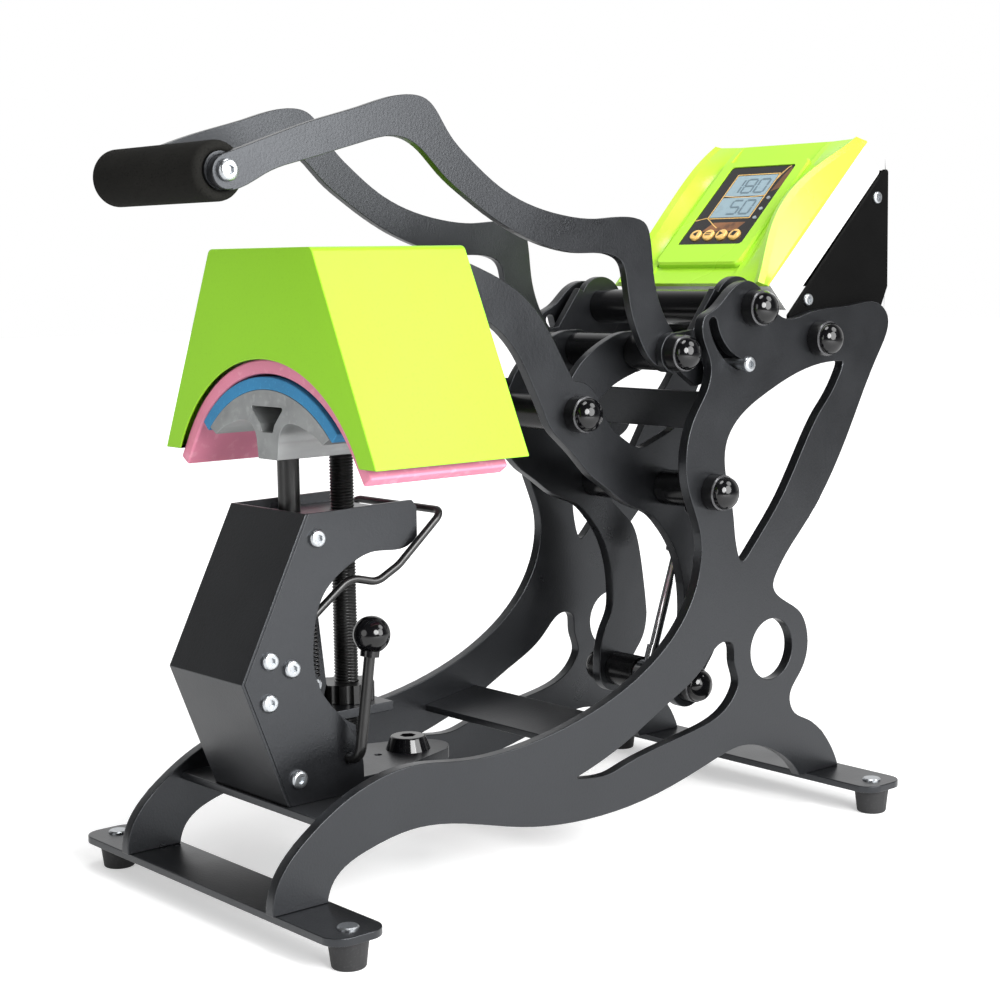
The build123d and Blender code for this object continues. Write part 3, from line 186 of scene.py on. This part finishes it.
def surface_group():
    """Grain shared by every finish: a mask of specks, a slow mottle and a height for the bump."""
    group = bpy.data.node_groups.new("surface_grain", "ShaderNodeTree")
    group.interface.new_socket("Vector", in_out="INPUT", socket_type="NodeSocketVector")
    group.interface.new_socket("Grain Scale", in_out="INPUT", socket_type="NodeSocketFloat")
    group.interface.new_socket("Mottle Scale", in_out="INPUT", socket_type="NodeSocketFloat")
    group.interface.new_socket("Specks", in_out="OUTPUT", socket_type="NodeSocketFloat")
    group.interface.new_socket("Mottle", in_out="OUTPUT", socket_type="NodeSocketFloat")
    group.interface.new_socket("Height", in_out="OUTPUT", socket_type="NodeSocketFloat")
    inlet = group.nodes.new("NodeGroupInput")
    outlet = group.nodes.new("NodeGroupOutput")
    grain = group.nodes.new("ShaderNodeTexNoise")
    grain.inputs["Detail"].default_value = 3
    mottle = group.nodes.new("ShaderNodeTexNoise")
    mottle.inputs["Detail"].default_value = 4
    specks = group.nodes.new("ShaderNodeMapRange")
    specks.inputs["From Min"].default_value = 0.56
    specks.inputs["From Max"].default_value = 0.68
    group.links.new(inlet.outputs["Vector"], grain.inputs["Vector"])
    group.links.new(inlet.outputs["Vector"], mottle.inputs["Vector"])
    group.links.new(inlet.outputs["Grain Scale"], grain.inputs["Scale"])
    group.links.new(inlet.outputs["Mottle Scale"], mottle.inputs["Scale"])
    group.links.new(grain.outputs["Fac"], specks.inputs["Value"])
    group.links.new(specks.outputs["Result"], outlet.inputs["Specks"])
    group.links.new(mottle.outputs["Fac"], outlet.inputs["Mottle"])
    group.links.new(grain.outputs["Fac"], outlet.inputs["Height"])
    return group


surface_grain = surface_group()


def grained(name, colour, speck, grain=900, mottle=14, bump=0.2, depth=0.05, vary=0.12,
            stretch=(1, 1, 1), **finish):
    """A finish with specks of another colour, a slow change of tone and gloss, and a fine bump."""
    made, bsdf = material(name, colour, **finish)
    tree = made.node_tree
    place = tree.nodes.new("ShaderNodeTexCoord")
    along = tree.nodes.new("ShaderNodeMapping")
    along.inputs["Scale"].default_value = stretch
    fine = tree.nodes.new("ShaderNodeGroup")
    fine.node_tree = surface_grain
    fine.inputs["Grain Scale"].default_value = grain
    fine.inputs["Mottle Scale"].default_value = mottle
    tree.links.new(place.outputs["Object"], along.inputs["Vector"])
    tree.links.new(along.outputs["Vector"], fine.inputs["Vector"])
    tone = tree.nodes.new("ShaderNodeMix")
    tone.data_type = "RGBA"
    tone.inputs["A"].default_value = (*colour, 1)
    tone.inputs["B"].default_value = (*speck, 1)
    tree.links.new(fine.outputs["Specks"], tone.inputs["Factor"])
    shade = tree.nodes.new("ShaderNodeHueSaturation")
    value = range_node(tree, fine.outputs["Mottle"], 0.3, 0.7, 1 - vary, 1 + vary)
    tree.links.new(value, shade.inputs["Value"])
    tree.links.new(tone.outputs["Result"], shade.inputs["Color"])
    tree.links.new(shade.outputs["Color"], bsdf.inputs["Base Color"])
    rough = bsdf.inputs["Roughness"].default_value
    gloss = range_node(tree, fine.outputs["Mottle"], 0.3, 0.7, rough * 0.88, min(1, rough * 1.12))
    tree.links.new(gloss, bsdf.inputs["Roughness"])
    relief = tree.nodes.new("ShaderNodeBump")
    relief.inputs["Strength"].default_value = bump
    relief.inputs["Distance"].default_value = depth * MM
    tree.links.new(fine.outputs["Height"], relief.inputs["Height"])
    tree.links.new(relief.outputs["Normal"], bsdf.inputs["Normal"])
    return made


def paint(finish, *names):
    for name in names:
        nodes[name].material_slots[0].material = finish


MERGE = 0.005


def break_edges(width, *names, segments=2):
    """Rounds the cut edges of CAD nodes with modifiers, their own meshes left as they are."""
    for name in names:
        weld = nodes[name].modifiers.new("weld", "WELD")
        weld.merge_threshold = MERGE * MM
        flat = nodes[name].modifiers.new("flat_faces", "DECIMATE")
        flat.decimate_type = "DISSOLVE"
        flat.angle_limit = math.radians(0.5)
        bevel = nodes[name].modifiers.new("broken_edges", "BEVEL")
        bevel.width = width * MM
        bevel.segments = segments
        bevel.angle_limit = math.radians(35)
        bevel.use_clamp_overlap = False
        even = nodes[name].modifiers.new("even_shading", "WEIGHTED_NORMAL")
        even.weight = 50
        even.keep_sharp = False


powder_black = grained("powder_black", (0.0046, 0.0048, 0.0055), (0.0024, 0.0025, 0.0028), grain=640,
                       mottle=22, bump=0.55, depth=0.15, vary=0.16, roughness=0.31, specular=0.62)
COOL_SHEEN = (0.9, 0.94, 1.0, 1)
powder_black.node_tree.nodes["Principled BSDF"].inputs["Specular Tint"].default_value = COOL_SHEEN
plates = ["side_frame_left", "side_frame_right", "cross_strap", "rear_strap", "base_plate"]
paint(powder_black, *plates)
break_edges(0.6, *plates)

# ---- Feet --------------------------------------------------------------------------------------------
# Two 5 mm steel bars welded under the frames, each on two moulded rubber cones.
# A pan head screw goes down through the bar into each foot.
rubber = grained("rubber", (0.020, 0.020, 0.021), (0.030, 0.030, 0.031), grain=700, mottle=30, bump=0.3,
                 depth=0.06, roughness=0.62, specular=0.35)
zinc = grained("zinc_plate", (0.46, 0.48, 0.50), (0.34, 0.35, 0.36), grain=900, mottle=60, bump=0.12,
               depth=0.03, roughness=0.33, metallic=1.0)
paint(powder_black, "foot_bars")
break_edges(0.6, "foot_bars")
paint(rubber, "rubber_feet")
paint(zinc, "foot_screws")

# ---- Pivot rods, spacers and dome nuts ---------------------------------------------------------------
# 12 mm steel rods run through the frames inside black tube spacers.
# Each end has a turned collar nut with a glossy black cap pressed on it.
black_tube = grained("black_tube", (0.005, 0.005, 0.0055), (0.008, 0.008, 0.009), grain=500, mottle=40,
                     bump=0.06, depth=0.03, stretch=(0.12, 1, 1), roughness=0.22, specular=0.3)
turned_steel = grained("turned_steel", (0.52, 0.52, 0.52), (0.42, 0.42, 0.42), grain=1500, mottle=50,
                       bump=0.1, depth=0.02, roughness=0.3, metallic=1.0)
gloss_cap = grained("gloss_cap", (0.0025, 0.0025, 0.003), (0.004, 0.004, 0.0045), grain=240, mottle=30,
                    bump=0.02, depth=0.02, roughness=0.1, specular=0.45)
collar_black = grained("collar_black", (0.004, 0.004, 0.0045), (0.007, 0.007, 0.0075), grain=900, mottle=30,
                       bump=0.12, depth=0.03, roughness=0.3, specular=0.35)
# A lighter grey for the collar's chamfer ring: a painted highlight on the dome nuts.
painted_rim_highlight = grained("painted_rim_highlight", (0.10, 0.10, 0.105), (0.06, 0.06, 0.062), grain=900, mottle=60, bump=0.05,
                   depth=0.02, roughness=0.25, metallic=0.6)


def finish_piece(name, bm, body, slot, *finishes, angle=35):
    """The mesh as an object, on the body if one is given, smooth where faces meet under the angle."""
    mesh = bpy.data.meshes.new(name)
    bm.to_mesh(mesh)
    bm.free()
    for finish in finishes:
        mesh.materials.append(finish)
    mesh.polygons.foreach_set("use_smooth", [True] * len(mesh.polygons))
    mesh.set_sharp_from_angle(angle=math.radians(angle))
    piece = bpy.data.objects.new(name, mesh)
    bpy.context.scene.collection.objects.link(piece)
    if body:
        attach(piece, body)
    return piece


def lathe(bm, profile, start, axis, steps=48):
    """Turns (radius, distance, finish) points about an axis; each point's finish is for the band after it."""
    start, axis = Vector(start), Vector(axis).normalized()
    side = axis.orthogonal().normalized()
    line = [bm.verts.new(start + axis * along * MM + side * radius * MM) for radius, along, *_ in profile]
    edges = [bm.edges.new(line[i:i + 2]) for i in range(len(line) - 1)]
    before = set(bm.faces)
    bmesh.ops.spin(bm, geom=line + edges, cent=start, axis=axis, angle=math.tau, steps=steps, use_merge=True)
    made = [face for face in bm.faces if face not in before]
    bmesh.ops.remove_doubles(bm, verts=list({v for face in made for v in face.verts}), dist=0.002 * MM)
    made = [face for face in bm.faces if face not in before]
    for face in made:
        along = (face.calc_center_median() - start).dot(axis) / MM
        bands = [point for point in profile if point[1] <= along + 1e-6]
        face.material_index = bands[-1][2] if bands and len(bands[-1]) > 2 else 0
    bmesh.ops.recalc_face_normals(bm, faces=made)


NUT_R, COLLAR, DOME_R, DOME_H = 12.5, 10.5, 11.5, 8.5
NUT_CHAMFER, GROOVE, DOME_FOOT = 0.4, 0.35, 0.8
# The band over the collar's top chamfer is a lighter grey, a painted highlight ring.
BODY, CAP, HIGHLIGHT_RING = 0, 1, 2
dome_curve = [(DOME_R * math.cos(t), COLLAR + DOME_FOOT + (DOME_H - DOME_FOOT) * math.sin(t), CAP)
              for t in [math.radians(a) for a in range(0, 91, 10)]]
nut_profile = [(0, 0, BODY), (NUT_R - NUT_CHAMFER, 0, BODY), (NUT_R, NUT_CHAMFER, BODY),
               (NUT_R, COLLAR - 0.9, HIGHLIGHT_RING), (NUT_R - 0.5, COLLAR - 0.2, HIGHLIGHT_RING),
               (DOME_R - GROOVE, COLLAR, CAP), (DOME_R - GROOVE, COLLAR + 0.4, CAP)] + dome_curve


def dome_nuts(name, body, places, node):
    """Collar nuts at (y, z, seat) places, one on each side."""
    bm = bmesh.new()
    for y, z, seat in places:
        for side in (-1, 1):
            lathe(bm, nut_profile, (side * seat * MM, y * MM, z * MM), (side, 0, 0))
    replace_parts(finish_piece(name, bm, body, "gloss_black", collar_black, gloss_cap, painted_rim_highlight), node)


LEVER_PIVOT, TOGGLE_PIVOT, LINK_PIVOT = (155.5, 366.2), (94.5, 337.0), (30.5, 297.5)
ARM_PIVOT, GAS_TOP, GAS_FOOT = (115.2, 240.6), (225.0, 342.5), (136.9, 95.5)
FRAME_OUT, CRANK_OUT, ARM_OUT = 87.5, 72.0, 41.25
frame_places = [(*pivot, FRAME_OUT) for pivot in (LEVER_PIVOT, ARM_PIVOT, GAS_TOP)]
dome_nuts("frame_caps", "root", frame_places, "frame_dome_nuts")
paint(turned_steel, "pivot_rods")
paint(black_tube, "frame_spacers")
break_edges(0.5, "frame_spacers")

# ---- Lever: handle arms, crank plates and grip -------------------------------------------------------
# A bent arm and a crank plate each side, 6 mm steel, clamped together on the toggle rod.
# The grip is closed-cell foam pulled over a steel bar, which a pan head screw holds at each end.
paint(powder_black, "handle_arms", "crank_plates")
break_edges(0.5, "handle_arms", "crank_plates")
paint(zinc, "lever_screws")
paint(powder_black, "handle_bar")
paint(turned_steel, "toggle_rod")
paint(black_tube, "lever_spacers")
break_edges(0.5, "lever_spacers")
dome_nuts("toggle_caps", "lever", [(*TOGGLE_PIVOT, CRANK_OUT)], "toggle_dome_nuts")

foam = grained("foam", (0.0125, 0.0122, 0.011), (0.004, 0.004, 0.004), grain=1300, mottle=30, bump=0.6,
               depth=0.25, vary=0.2, roughness=0.95, specular=0.08)
low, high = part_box("foam_grip")
grip_r = (high.z - low.z) / 2 / MM
grip_length = (high.x - low.x) / MM
GRIP_BORE, END_ROUND, GRIP_RUNS = 11.0, 4.5, 8
grip_end = [(GRIP_BORE, 1.5), (GRIP_BORE + 1, 0.4)]
grip_end += [(grip_r - END_ROUND + END_ROUND * math.sin(t), END_ROUND - END_ROUND * math.cos(t))
             for t in [math.radians(a) for a in range(0, 91, 15)]]
grip_profile = grip_end + [(grip_r, grip_length * run / GRIP_RUNS) for run in range(1, GRIP_RUNS)]
grip_profile += [(radius, grip_length - along) for radius, along in reversed(grip_end)]
bm = bmesh.new()
lathe(bm, grip_profile, (low.x, (low.y + high.y) / 2, (low.z + high.z) / 2), (1, 0, 0), steps=64)
grip = finish_piece("grip_foam", bm, "lever", "black_foam", foam, angle=60)
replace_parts(grip, "foam_grip")

# ---- Toggle links -------------------------------------------------------------------------------------
# Two 6 mm links join the toggle rod to the platen arms, inside the arms.
paint(powder_black, "toggle_links")
break_edges(0.5, "toggle_links")
paint(black_tube, "link_pins")
break_edges(0.5, "link_pins")

# ---- Platen arms --------------------------------------------------------------------------------------
# Two S-shaped 8 mm plates that carry the heater in front and the gas spring's foot below.
paint(powder_black, "platen_arm_left", "platen_arm_right")
break_edges(0.6, "platen_arm_left", "platen_arm_right")
paint(turned_steel, "arm_rods")
paint(black_tube, "arm_spacers")
break_edges(0.5, "arm_spacers")
dome_nuts("arm_caps", "arm", [(*LINK_PIVOT, ARM_OUT), (*GAS_FOOT, ARM_OUT)], "arm_dome_nuts")

# ---- Heater -------------------------------------------------------------------------------------------
# A folded sheet steel cover, green powder coat, over an arched silicone heating mat.
# The mat is moulded pink silicone on a curved aluminium back with two ribs.
green_coat = grained("green_coat", (0.272, 0.60, 0.015), (0.26, 0.575, 0.014), grain=520, mottle=6, bump=0.1,
                     depth=0.04, vary=0.03, roughness=0.4, specular=0.36)
pink = grained("pink_silicone", (0.74, 0.245, 0.355), (0.80, 0.32, 0.43), grain=160, mottle=22, bump=0.2,
               depth=0.1, vary=0.09, roughness=0.5, specular=0.4)
paint(green_coat, "heater_cover")
break_edges(0.8, "heater_cover", segments=3)
paint(pink, "heating_mat")
break_edges(1.6, "heating_mat", segments=4)
paint(turned_steel, "heater_back")

# ---- Lower platen, pad and height screw ---------------------------------------------------------------
# An aluminium extrusion sawn to length, with a channel for the screw heads, under a blue silicone pad.
# It stands on a plain guide rod and a threaded one, whose nut sets the height.
sawn = grained("sawn_aluminium", (0.30, 0.31, 0.31), (0.36, 0.37, 0.37), grain=170, mottle=60, bump=0.15,
               depth=0.05, vary=0.16, stretch=(1, 0.25, 1), roughness=0.45, metallic=0.6)
blue = grained("blue_silicone", (0.036, 0.205, 0.40), (0.050, 0.25, 0.46), grain=420, mottle=30, bump=0.3,
               depth=0.1, vary=0.1, roughness=0.6, specular=0.3)
oxide = grained("black_oxide", (0.005, 0.005, 0.005), (0.009, 0.009, 0.009), grain=800, mottle=60, bump=0.15,
                depth=0.03, roughness=0.32, specular=0.5)
paint(sawn, "lower_platen")
break_edges(0.4, "lower_platen")
paint(blue, "silicone_pad")
break_edges(0.8, "silicone_pad", segments=3)
paint(oxide, "guide_rod", "height_nut")

low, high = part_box("height_screw")
SCREW_R, PITCH, THREAD, TURN_STEPS, ROWS_PER_TURN = 8.0, 2.0, 0.9, 32, 6
screw_foot = Vector(((low.x + high.x) / 2, (low.y + high.y) / 2, low.z))
rows = round((high.z - low.z) / MM / PITCH * ROWS_PER_TURN)
bm = bmesh.new()
ring = bmesh.ops.create_circle(bm, segments=TURN_STEPS, radius=SCREW_R * MM,
                               matrix=Matrix.Translation(screw_foot))["verts"]
edges = list({edge for vert in ring for edge in vert.link_edges})
bmesh.ops.spin(bm, geom=ring + edges, cent=screw_foot, axis=(0, 0, 1), dvec=(0, 0, (high.z - low.z) / rows),
               angle=0, steps=rows)
for vert in bm.verts:
    out = vert.co - screw_foot
    phase = (out.z / MM / PITCH - math.atan2(out.y, out.x) / math.tau) % 1
    radius = SCREW_R - THREAD * abs(2 * phase - 1)
    vert.co.xy = screw_foot.xy + out.xy.normalized() * radius * MM
bmesh.ops.holes_fill(bm, edges=[edge for edge in bm.edges if edge.is_boundary], sides=0)
bmesh.ops.recalc_face_normals(bm, faces=bm.faces)
rod = finish_piece("threaded_rod", bm, "platen_carriage", "black_steel", oxide, angle=40)
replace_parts(rod, "height_screw")

# ---- Cap stand ----------------------------------------------------------------------------------------
# Two 3 mm side plates, a bent 2 mm front shield and plates between them, held by button head screws.
# Its foot slides under a conical clamp screw, so that the stand can be changed.
stand_plates = ["stand_sides", "stand_top_plate", "stand_foot", "stand_cradle"]
paint(powder_black, *stand_plates)
break_edges(0.4, *stand_plates)
paint(powder_black, "stand_shield")
break_edges(0.5, "stand_shield")
paint(zinc, "button_head_screws")
paint(gloss_cap, "foot_clamp_screw")

# ---- Wire bail, springs and knob lever ----------------------------------------------------------------
# A bent 5 mm wire clamps the cap's sweatband, pulled down by two extension springs.
# The knob lever turns a cam that lifts the bail; its ball is phenolic plastic.
paint(oxide, "wire_bail")
paint(oxide, "knob_lever")
paint(gloss_cap, "lever_knob")
paint(zinc, "bail_axle")

low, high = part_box("bail_springs")
COIL_R, SPRING_WIRE_R, COILS, COIL_STEPS, WIRE_SIDES = 2.3, 0.55, 13, 16, 8
END_Y, END_Z = 2.6, 1.5
bm = bmesh.new()
for side in (-1, 1):
    foot = Vector((side * (high.x - COIL_R * MM), high.y - END_Y * MM, low.z + END_Z * MM))
    head = Vector((foot.x, low.y + END_Y * MM, high.z - END_Z * MM))
    along = (head - foot).normalized()
    across = Vector((1, 0, 0))
    section = Matrix((across, along, across.cross(along))).transposed().to_4x4()
    place = Matrix.Translation(foot + across * COIL_R * MM) @ section
    wire = bmesh.ops.create_circle(bm, segments=WIRE_SIDES, radius=SPRING_WIRE_R * MM, matrix=place)["verts"]
    edges = list({edge for vert in wire for edge in vert.link_edges})
    bmesh.ops.spin(bm, geom=wire + edges, cent=foot, axis=along, dvec=(head - foot) / (COILS * COIL_STEPS),
                   angle=math.tau * COILS, steps=COILS * COIL_STEPS)
bmesh.ops.holes_fill(bm, edges=[edge for edge in bm.edges if edge.is_boundary], sides=0)
bmesh.ops.recalc_face_normals(bm, faces=bm.faces)
springs = finish_piece("bail_coils", bm, None, "black_steel", oxide, angle=60)
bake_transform(springs)
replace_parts(springs, "bail_springs")

# ---- Gas spring ---------------------------------------------------------------------------------------
# A chromed rod in a black painted tube, between the platen arms and the upper rod.
chrome = grained("chrome", (0.80, 0.80, 0.81), (0.74, 0.74, 0.75), grain=300, mottle=20, bump=0.02,
                 depth=0.01, stretch=(1, 0.2, 0.2), roughness=0.07, metallic=1.0)
paint(chrome, "gas_piston")
paint(gloss_cap, "gas_cylinder")

# ---- Controller ---------------------------------------------------------------------------------------
# A moulded green fascia with a printed overlay and a display, on a white sheet steel case.
green_plastic = grained("green_plastic", (0.43, 0.80, 0.045), (0.41, 0.77, 0.042), grain=900, mottle=8,
                        bump=0.06, depth=0.03, vary=0.03, roughness=0.27, specular=0.5)
overlay = grained("overlay", (0.010, 0.009, 0.010), (0.016, 0.013, 0.012), grain=300, mottle=16, bump=0.02,
                  depth=0.01, vary=0.3, roughness=0.16, specular=0.5)
white_coat = grained("white_coat", (0.82, 0.82, 0.81), (0.78, 0.78, 0.77), grain=800, mottle=10, bump=0.12,
                     depth=0.03, vary=0.02, roughness=0.4, specular=0.4)
gold_print = grained("gold_print", (0.82, 0.50, 0.16), (0.88, 0.58, 0.24), grain=400, mottle=60, bump=0.03,
                     depth=0.01, vary=0.08, roughness=0.3, specular=0.5)
lamp_lens = grained("lamp_lens", (0.35, 0.40, 0.45), (0.30, 0.34, 0.38), grain=300, mottle=60, bump=0.02,
                    depth=0.01, roughness=0.15, specular=0.6)
paint(green_plastic, "controller_fascia")
paint(overlay, "display_panel")
paint(white_coat, "controller_case")
paint(lamp_lens, "indicator_lamps")
paint(gold_print, "button_1", "button_2", "button_3", "button_4")

glass = grained("display_glass", (0.30, 0.41, 0.47), (0.27, 0.37, 0.43), grain=200, mottle=18, bump=0.01,
                depth=0.01, vary=0.06, roughness=0.22, specular=0.5)
segment = grained("display_segment", (0.13, 0.19, 0.23), (0.12, 0.18, 0.21), grain=200, mottle=18, bump=0.01,
                  depth=0.01, vary=0.05, roughness=0.3)
bronze_glow = grained("bronze_glow", (0.20, 0.085, 0.035), (0.10, 0.045, 0.022), grain=90, mottle=30,
                      bump=0.01, depth=0.01, vary=0.4, roughness=0.2)
dark_print = grained("dark_print", (0.012, 0.010, 0.009), (0.016, 0.014, 0.012), grain=300, mottle=30,
                     bump=0.02, depth=0.01, roughness=0.3)
SLOPE = math.radians(43.78)
BOX_FOOT = Vector((0, 182.0, 380.5)) * MM
UP_SLOPE = Vector((0, math.cos(SLOPE), math.sin(SLOPE)))
OUT_OF_BOX = Vector((0, -math.sin(SLOPE), math.cos(SLOPE)))
PRINT_T = 0.12


def on_box(x, s, h):
    """A place on the controller: x across, s up its slope, h out of its mounting plane, in mm."""
    return BOX_FOOT + Vector((x * MM, 0, 0)) + UP_SLOPE * s * MM + OUT_OF_BOX * h * MM


def print_shape(bm, points, h, thickness=PRINT_T):
    """A flat shape laid on the controller, with its edge down to the surface."""
    face = bm.faces.new([bm.verts.new(on_box(x, s, h)) for x, s in points])
    made = bmesh.ops.extrude_face_region(bm, geom=[face])["geom"]
    bmesh.ops.translate(bm, verts=[v for v in made if isinstance(v, bmesh.types.BMVert)],
                        vec=OUT_OF_BOX * thickness * MM)


def ribbon(bm, points, width, h):
    """A printed line of an even width through points."""
    for (x0, s0), (x1, s1) in zip(points, points[1:]):
        length = math.hypot(x1 - x0, s1 - s0)
        nx, ns = -(s1 - s0) / length * width / 2, (x1 - x0) / length * width / 2
        print_shape(bm, [(x0 + nx, s0 + ns), (x0 - nx, s0 - ns), (x1 - nx, s1 - ns), (x1 + nx, s1 + ns)], h)


def print_piece(name, bm, body, slot, finish):
    bmesh.ops.recalc_face_normals(bm, faces=bm.faces)
    return finish_piece(name, bm, body, slot, finish, angle=30)


PANEL_H, PANEL_HIGH, PANEL_EDGE = 7.2, 121.0, 32.5
PANE_LEFT, PANE_RIGHT, PANE_LOW, PANE_SPLIT, PANE_HIGH = -19.5, 20.8, 65.5, 87.5, 111.0
PANE_GAP = 0.8
bm = bmesh.new()
for foot, top in ((PANE_LOW, PANE_SPLIT - PANE_GAP), (PANE_SPLIT + PANE_GAP, PANE_HIGH)):
    print_shape(bm, [(PANE_LEFT, foot), (PANE_RIGHT, foot), (PANE_RIGHT, top), (PANE_LEFT, top)], PANEL_H)
print_piece("display_panes", bm, "root", "panel_black", glass)

DIGIT_W, DIGIT_H, STROKE = 9.5, 14.5, 1.7
DIGIT_GAP, DIGIT_EDGE, STROKE_GAP = 3.2, 4.0, 0.07
segment_lines = {"top": ((0, 1), (1, 1)), "mid": ((0, 0.5), (1, 0.5)), "foot": ((0, 0), (1, 0)),
                 "left_up": ((0, 0.5), (0, 1)), "right_up": ((1, 0.5), (1, 1)),
                 "left_low": ((0, 0), (0, 0.5)), "right_low": ((1, 0), (1, 0.5))}
figures = {"1": ["right_up", "right_low"], "8": list(segment_lines),
           "5": ["top", "mid", "foot", "left_up", "right_low"],
           "0": ["top", "foot", "left_up", "right_up", "left_low", "right_low"]}
bm = bmesh.new()
for row, text in ((PANE_SPLIT + 4.4, "180"), (PANE_LOW + 3.4, "50")):
    for place, figure in enumerate(reversed(text)):
        left = PANE_RIGHT - DIGIT_EDGE - DIGIT_W - place * (DIGIT_W + DIGIT_GAP)
        for line in figures[figure]:
            (ax, ay), (bx, by) = segment_lines[line]
            gap_x, gap_y = (bx - ax) * STROKE_GAP, (by - ay) * STROKE_GAP
            start = (left + (ax + gap_x) * DIGIT_W, row + (ay + gap_y) * DIGIT_H)
            end = (left + (bx - gap_x) * DIGIT_W, row + (by - gap_y) * DIGIT_H)
            ribbon(bm, [start, end], STROKE, PANEL_H + PRINT_T)
print_piece("display_digits", bm, "root", "panel_black", segment)

bm = bmesh.new()
LINE_LEFT, LINE_RIGHT, LINE_LOW, LINE_HIGH = PANE_LEFT - 1, PANE_RIGHT + 1, PANE_LOW - 1.2, PANE_HIGH + 1.2
WIDE_LINE, FINE_LINE = 0.8, 0.7
frame_line = [(LINE_LEFT, LINE_LOW), (LINE_RIGHT, LINE_LOW), (LINE_RIGHT, LINE_HIGH), (LINE_LEFT, LINE_HIGH),
              (LINE_LEFT, LINE_LOW)]
ribbon(bm, frame_line, WIDE_LINE, PANEL_H)
wave = [(LINE_LEFT, PANE_SPLIT + 1.4), (-8, PANE_SPLIT), (6, PANE_SPLIT - 0.6), (LINE_RIGHT, PANE_SPLIT + 0.8)]
ribbon(bm, wave, FINE_LINE, PANEL_H + 0.02)
ribbon(bm, [(-PANEL_EDGE + 0.6, 62.4), (-27, 63.6), (LINE_LEFT, 65.4)], WIDE_LINE, PANEL_H)
ribbon(bm, [(LINE_LEFT, 64.6), (-15, 61), (-10, 57.5), (-4.5, 54.2)], FINE_LINE, PANEL_H)
ribbon(bm, [(LINE_RIGHT, PANE_HIGH - 6), (24, 113), (26, 118), (28, PANEL_HIGH - 1)], WIDE_LINE, PANEL_H)
print_piece("panel_lines", bm, "root", "gold_key", gold_print)

bm = bmesh.new()
print_shape(bm, [(24.5, 92), (31.4, 96), (31.4, 116), (29, 119), (26.5, 110)], PANEL_H, 0.05)
print_shape(bm, [(-17, 50.5), (16, 50.5), (21, 60), (-11, 60)], PANEL_H, 0.03)
print_piece("panel_glow", bm, "root", "panel_black", bronze_glow)

KEY_S, KEY_PITCH, KEY_TOP = 46.0, 13.0, 9.2
key_marks = {1: [[(-2.6, 0.2), (1.4, 2.9), (1.9, -2.4)]],
             2: [[(-2.6, 0.5), (2.6, 0.5), (2.6, 1.5), (-2.6, 1.5)],
                 [(-2.6, -1.5), (2.6, -1.5), (2.6, -0.5), (-2.6, -0.5)]],
             3: [[(-2.2, 2.4), (-2.2, -2.6), (2.4, 0.2)]],
             4: [[(-2.4, -1.6), (-1.2, 2.6), (2.6, 2.0), (1.4, -2.4)]]}
for key, shapes in key_marks.items():
    bm = bmesh.new()
    for points in shapes:
        print_shape(bm, [(x + KEY_PITCH * (key - 2.5), y + KEY_S) for x, y in points], KEY_TOP)
    print_piece(f"key_mark_{key}", bm, f"button_{key}", "gold_key", dark_print)

board_green = grained("board_green", (0.02, 0.17, 0.05), (0.03, 0.22, 0.07), grain=300, mottle=40,
                      roughness=0.4)
paint(board_green, "control_board")

# ---- Bracket and mains inlet --------------------------------------------------------------------------
# A folded 3 mm bracket holds the case between the frames; the inlet and its rocker clip in its back.
black_plastic = grained("black_plastic", (0.012, 0.012, 0.012), (0.018, 0.018, 0.018), grain=900, mottle=30,
                        bump=0.2, depth=0.04, roughness=0.42, specular=0.45)
# The bracket's black is darker than the frames' coat and has almost no specular.
dim_black = grained("dim_black", (0.0028, 0.0028, 0.0028), (0.002, 0.002, 0.002), grain=900, mottle=20,
                       bump=0.2, depth=0.04, roughness=0.5, specular=0.04)
paint(dim_black, "controller_bracket")
break_edges(0.4, "controller_bracket")
paint(black_plastic, "power_inlet", "power_switch")
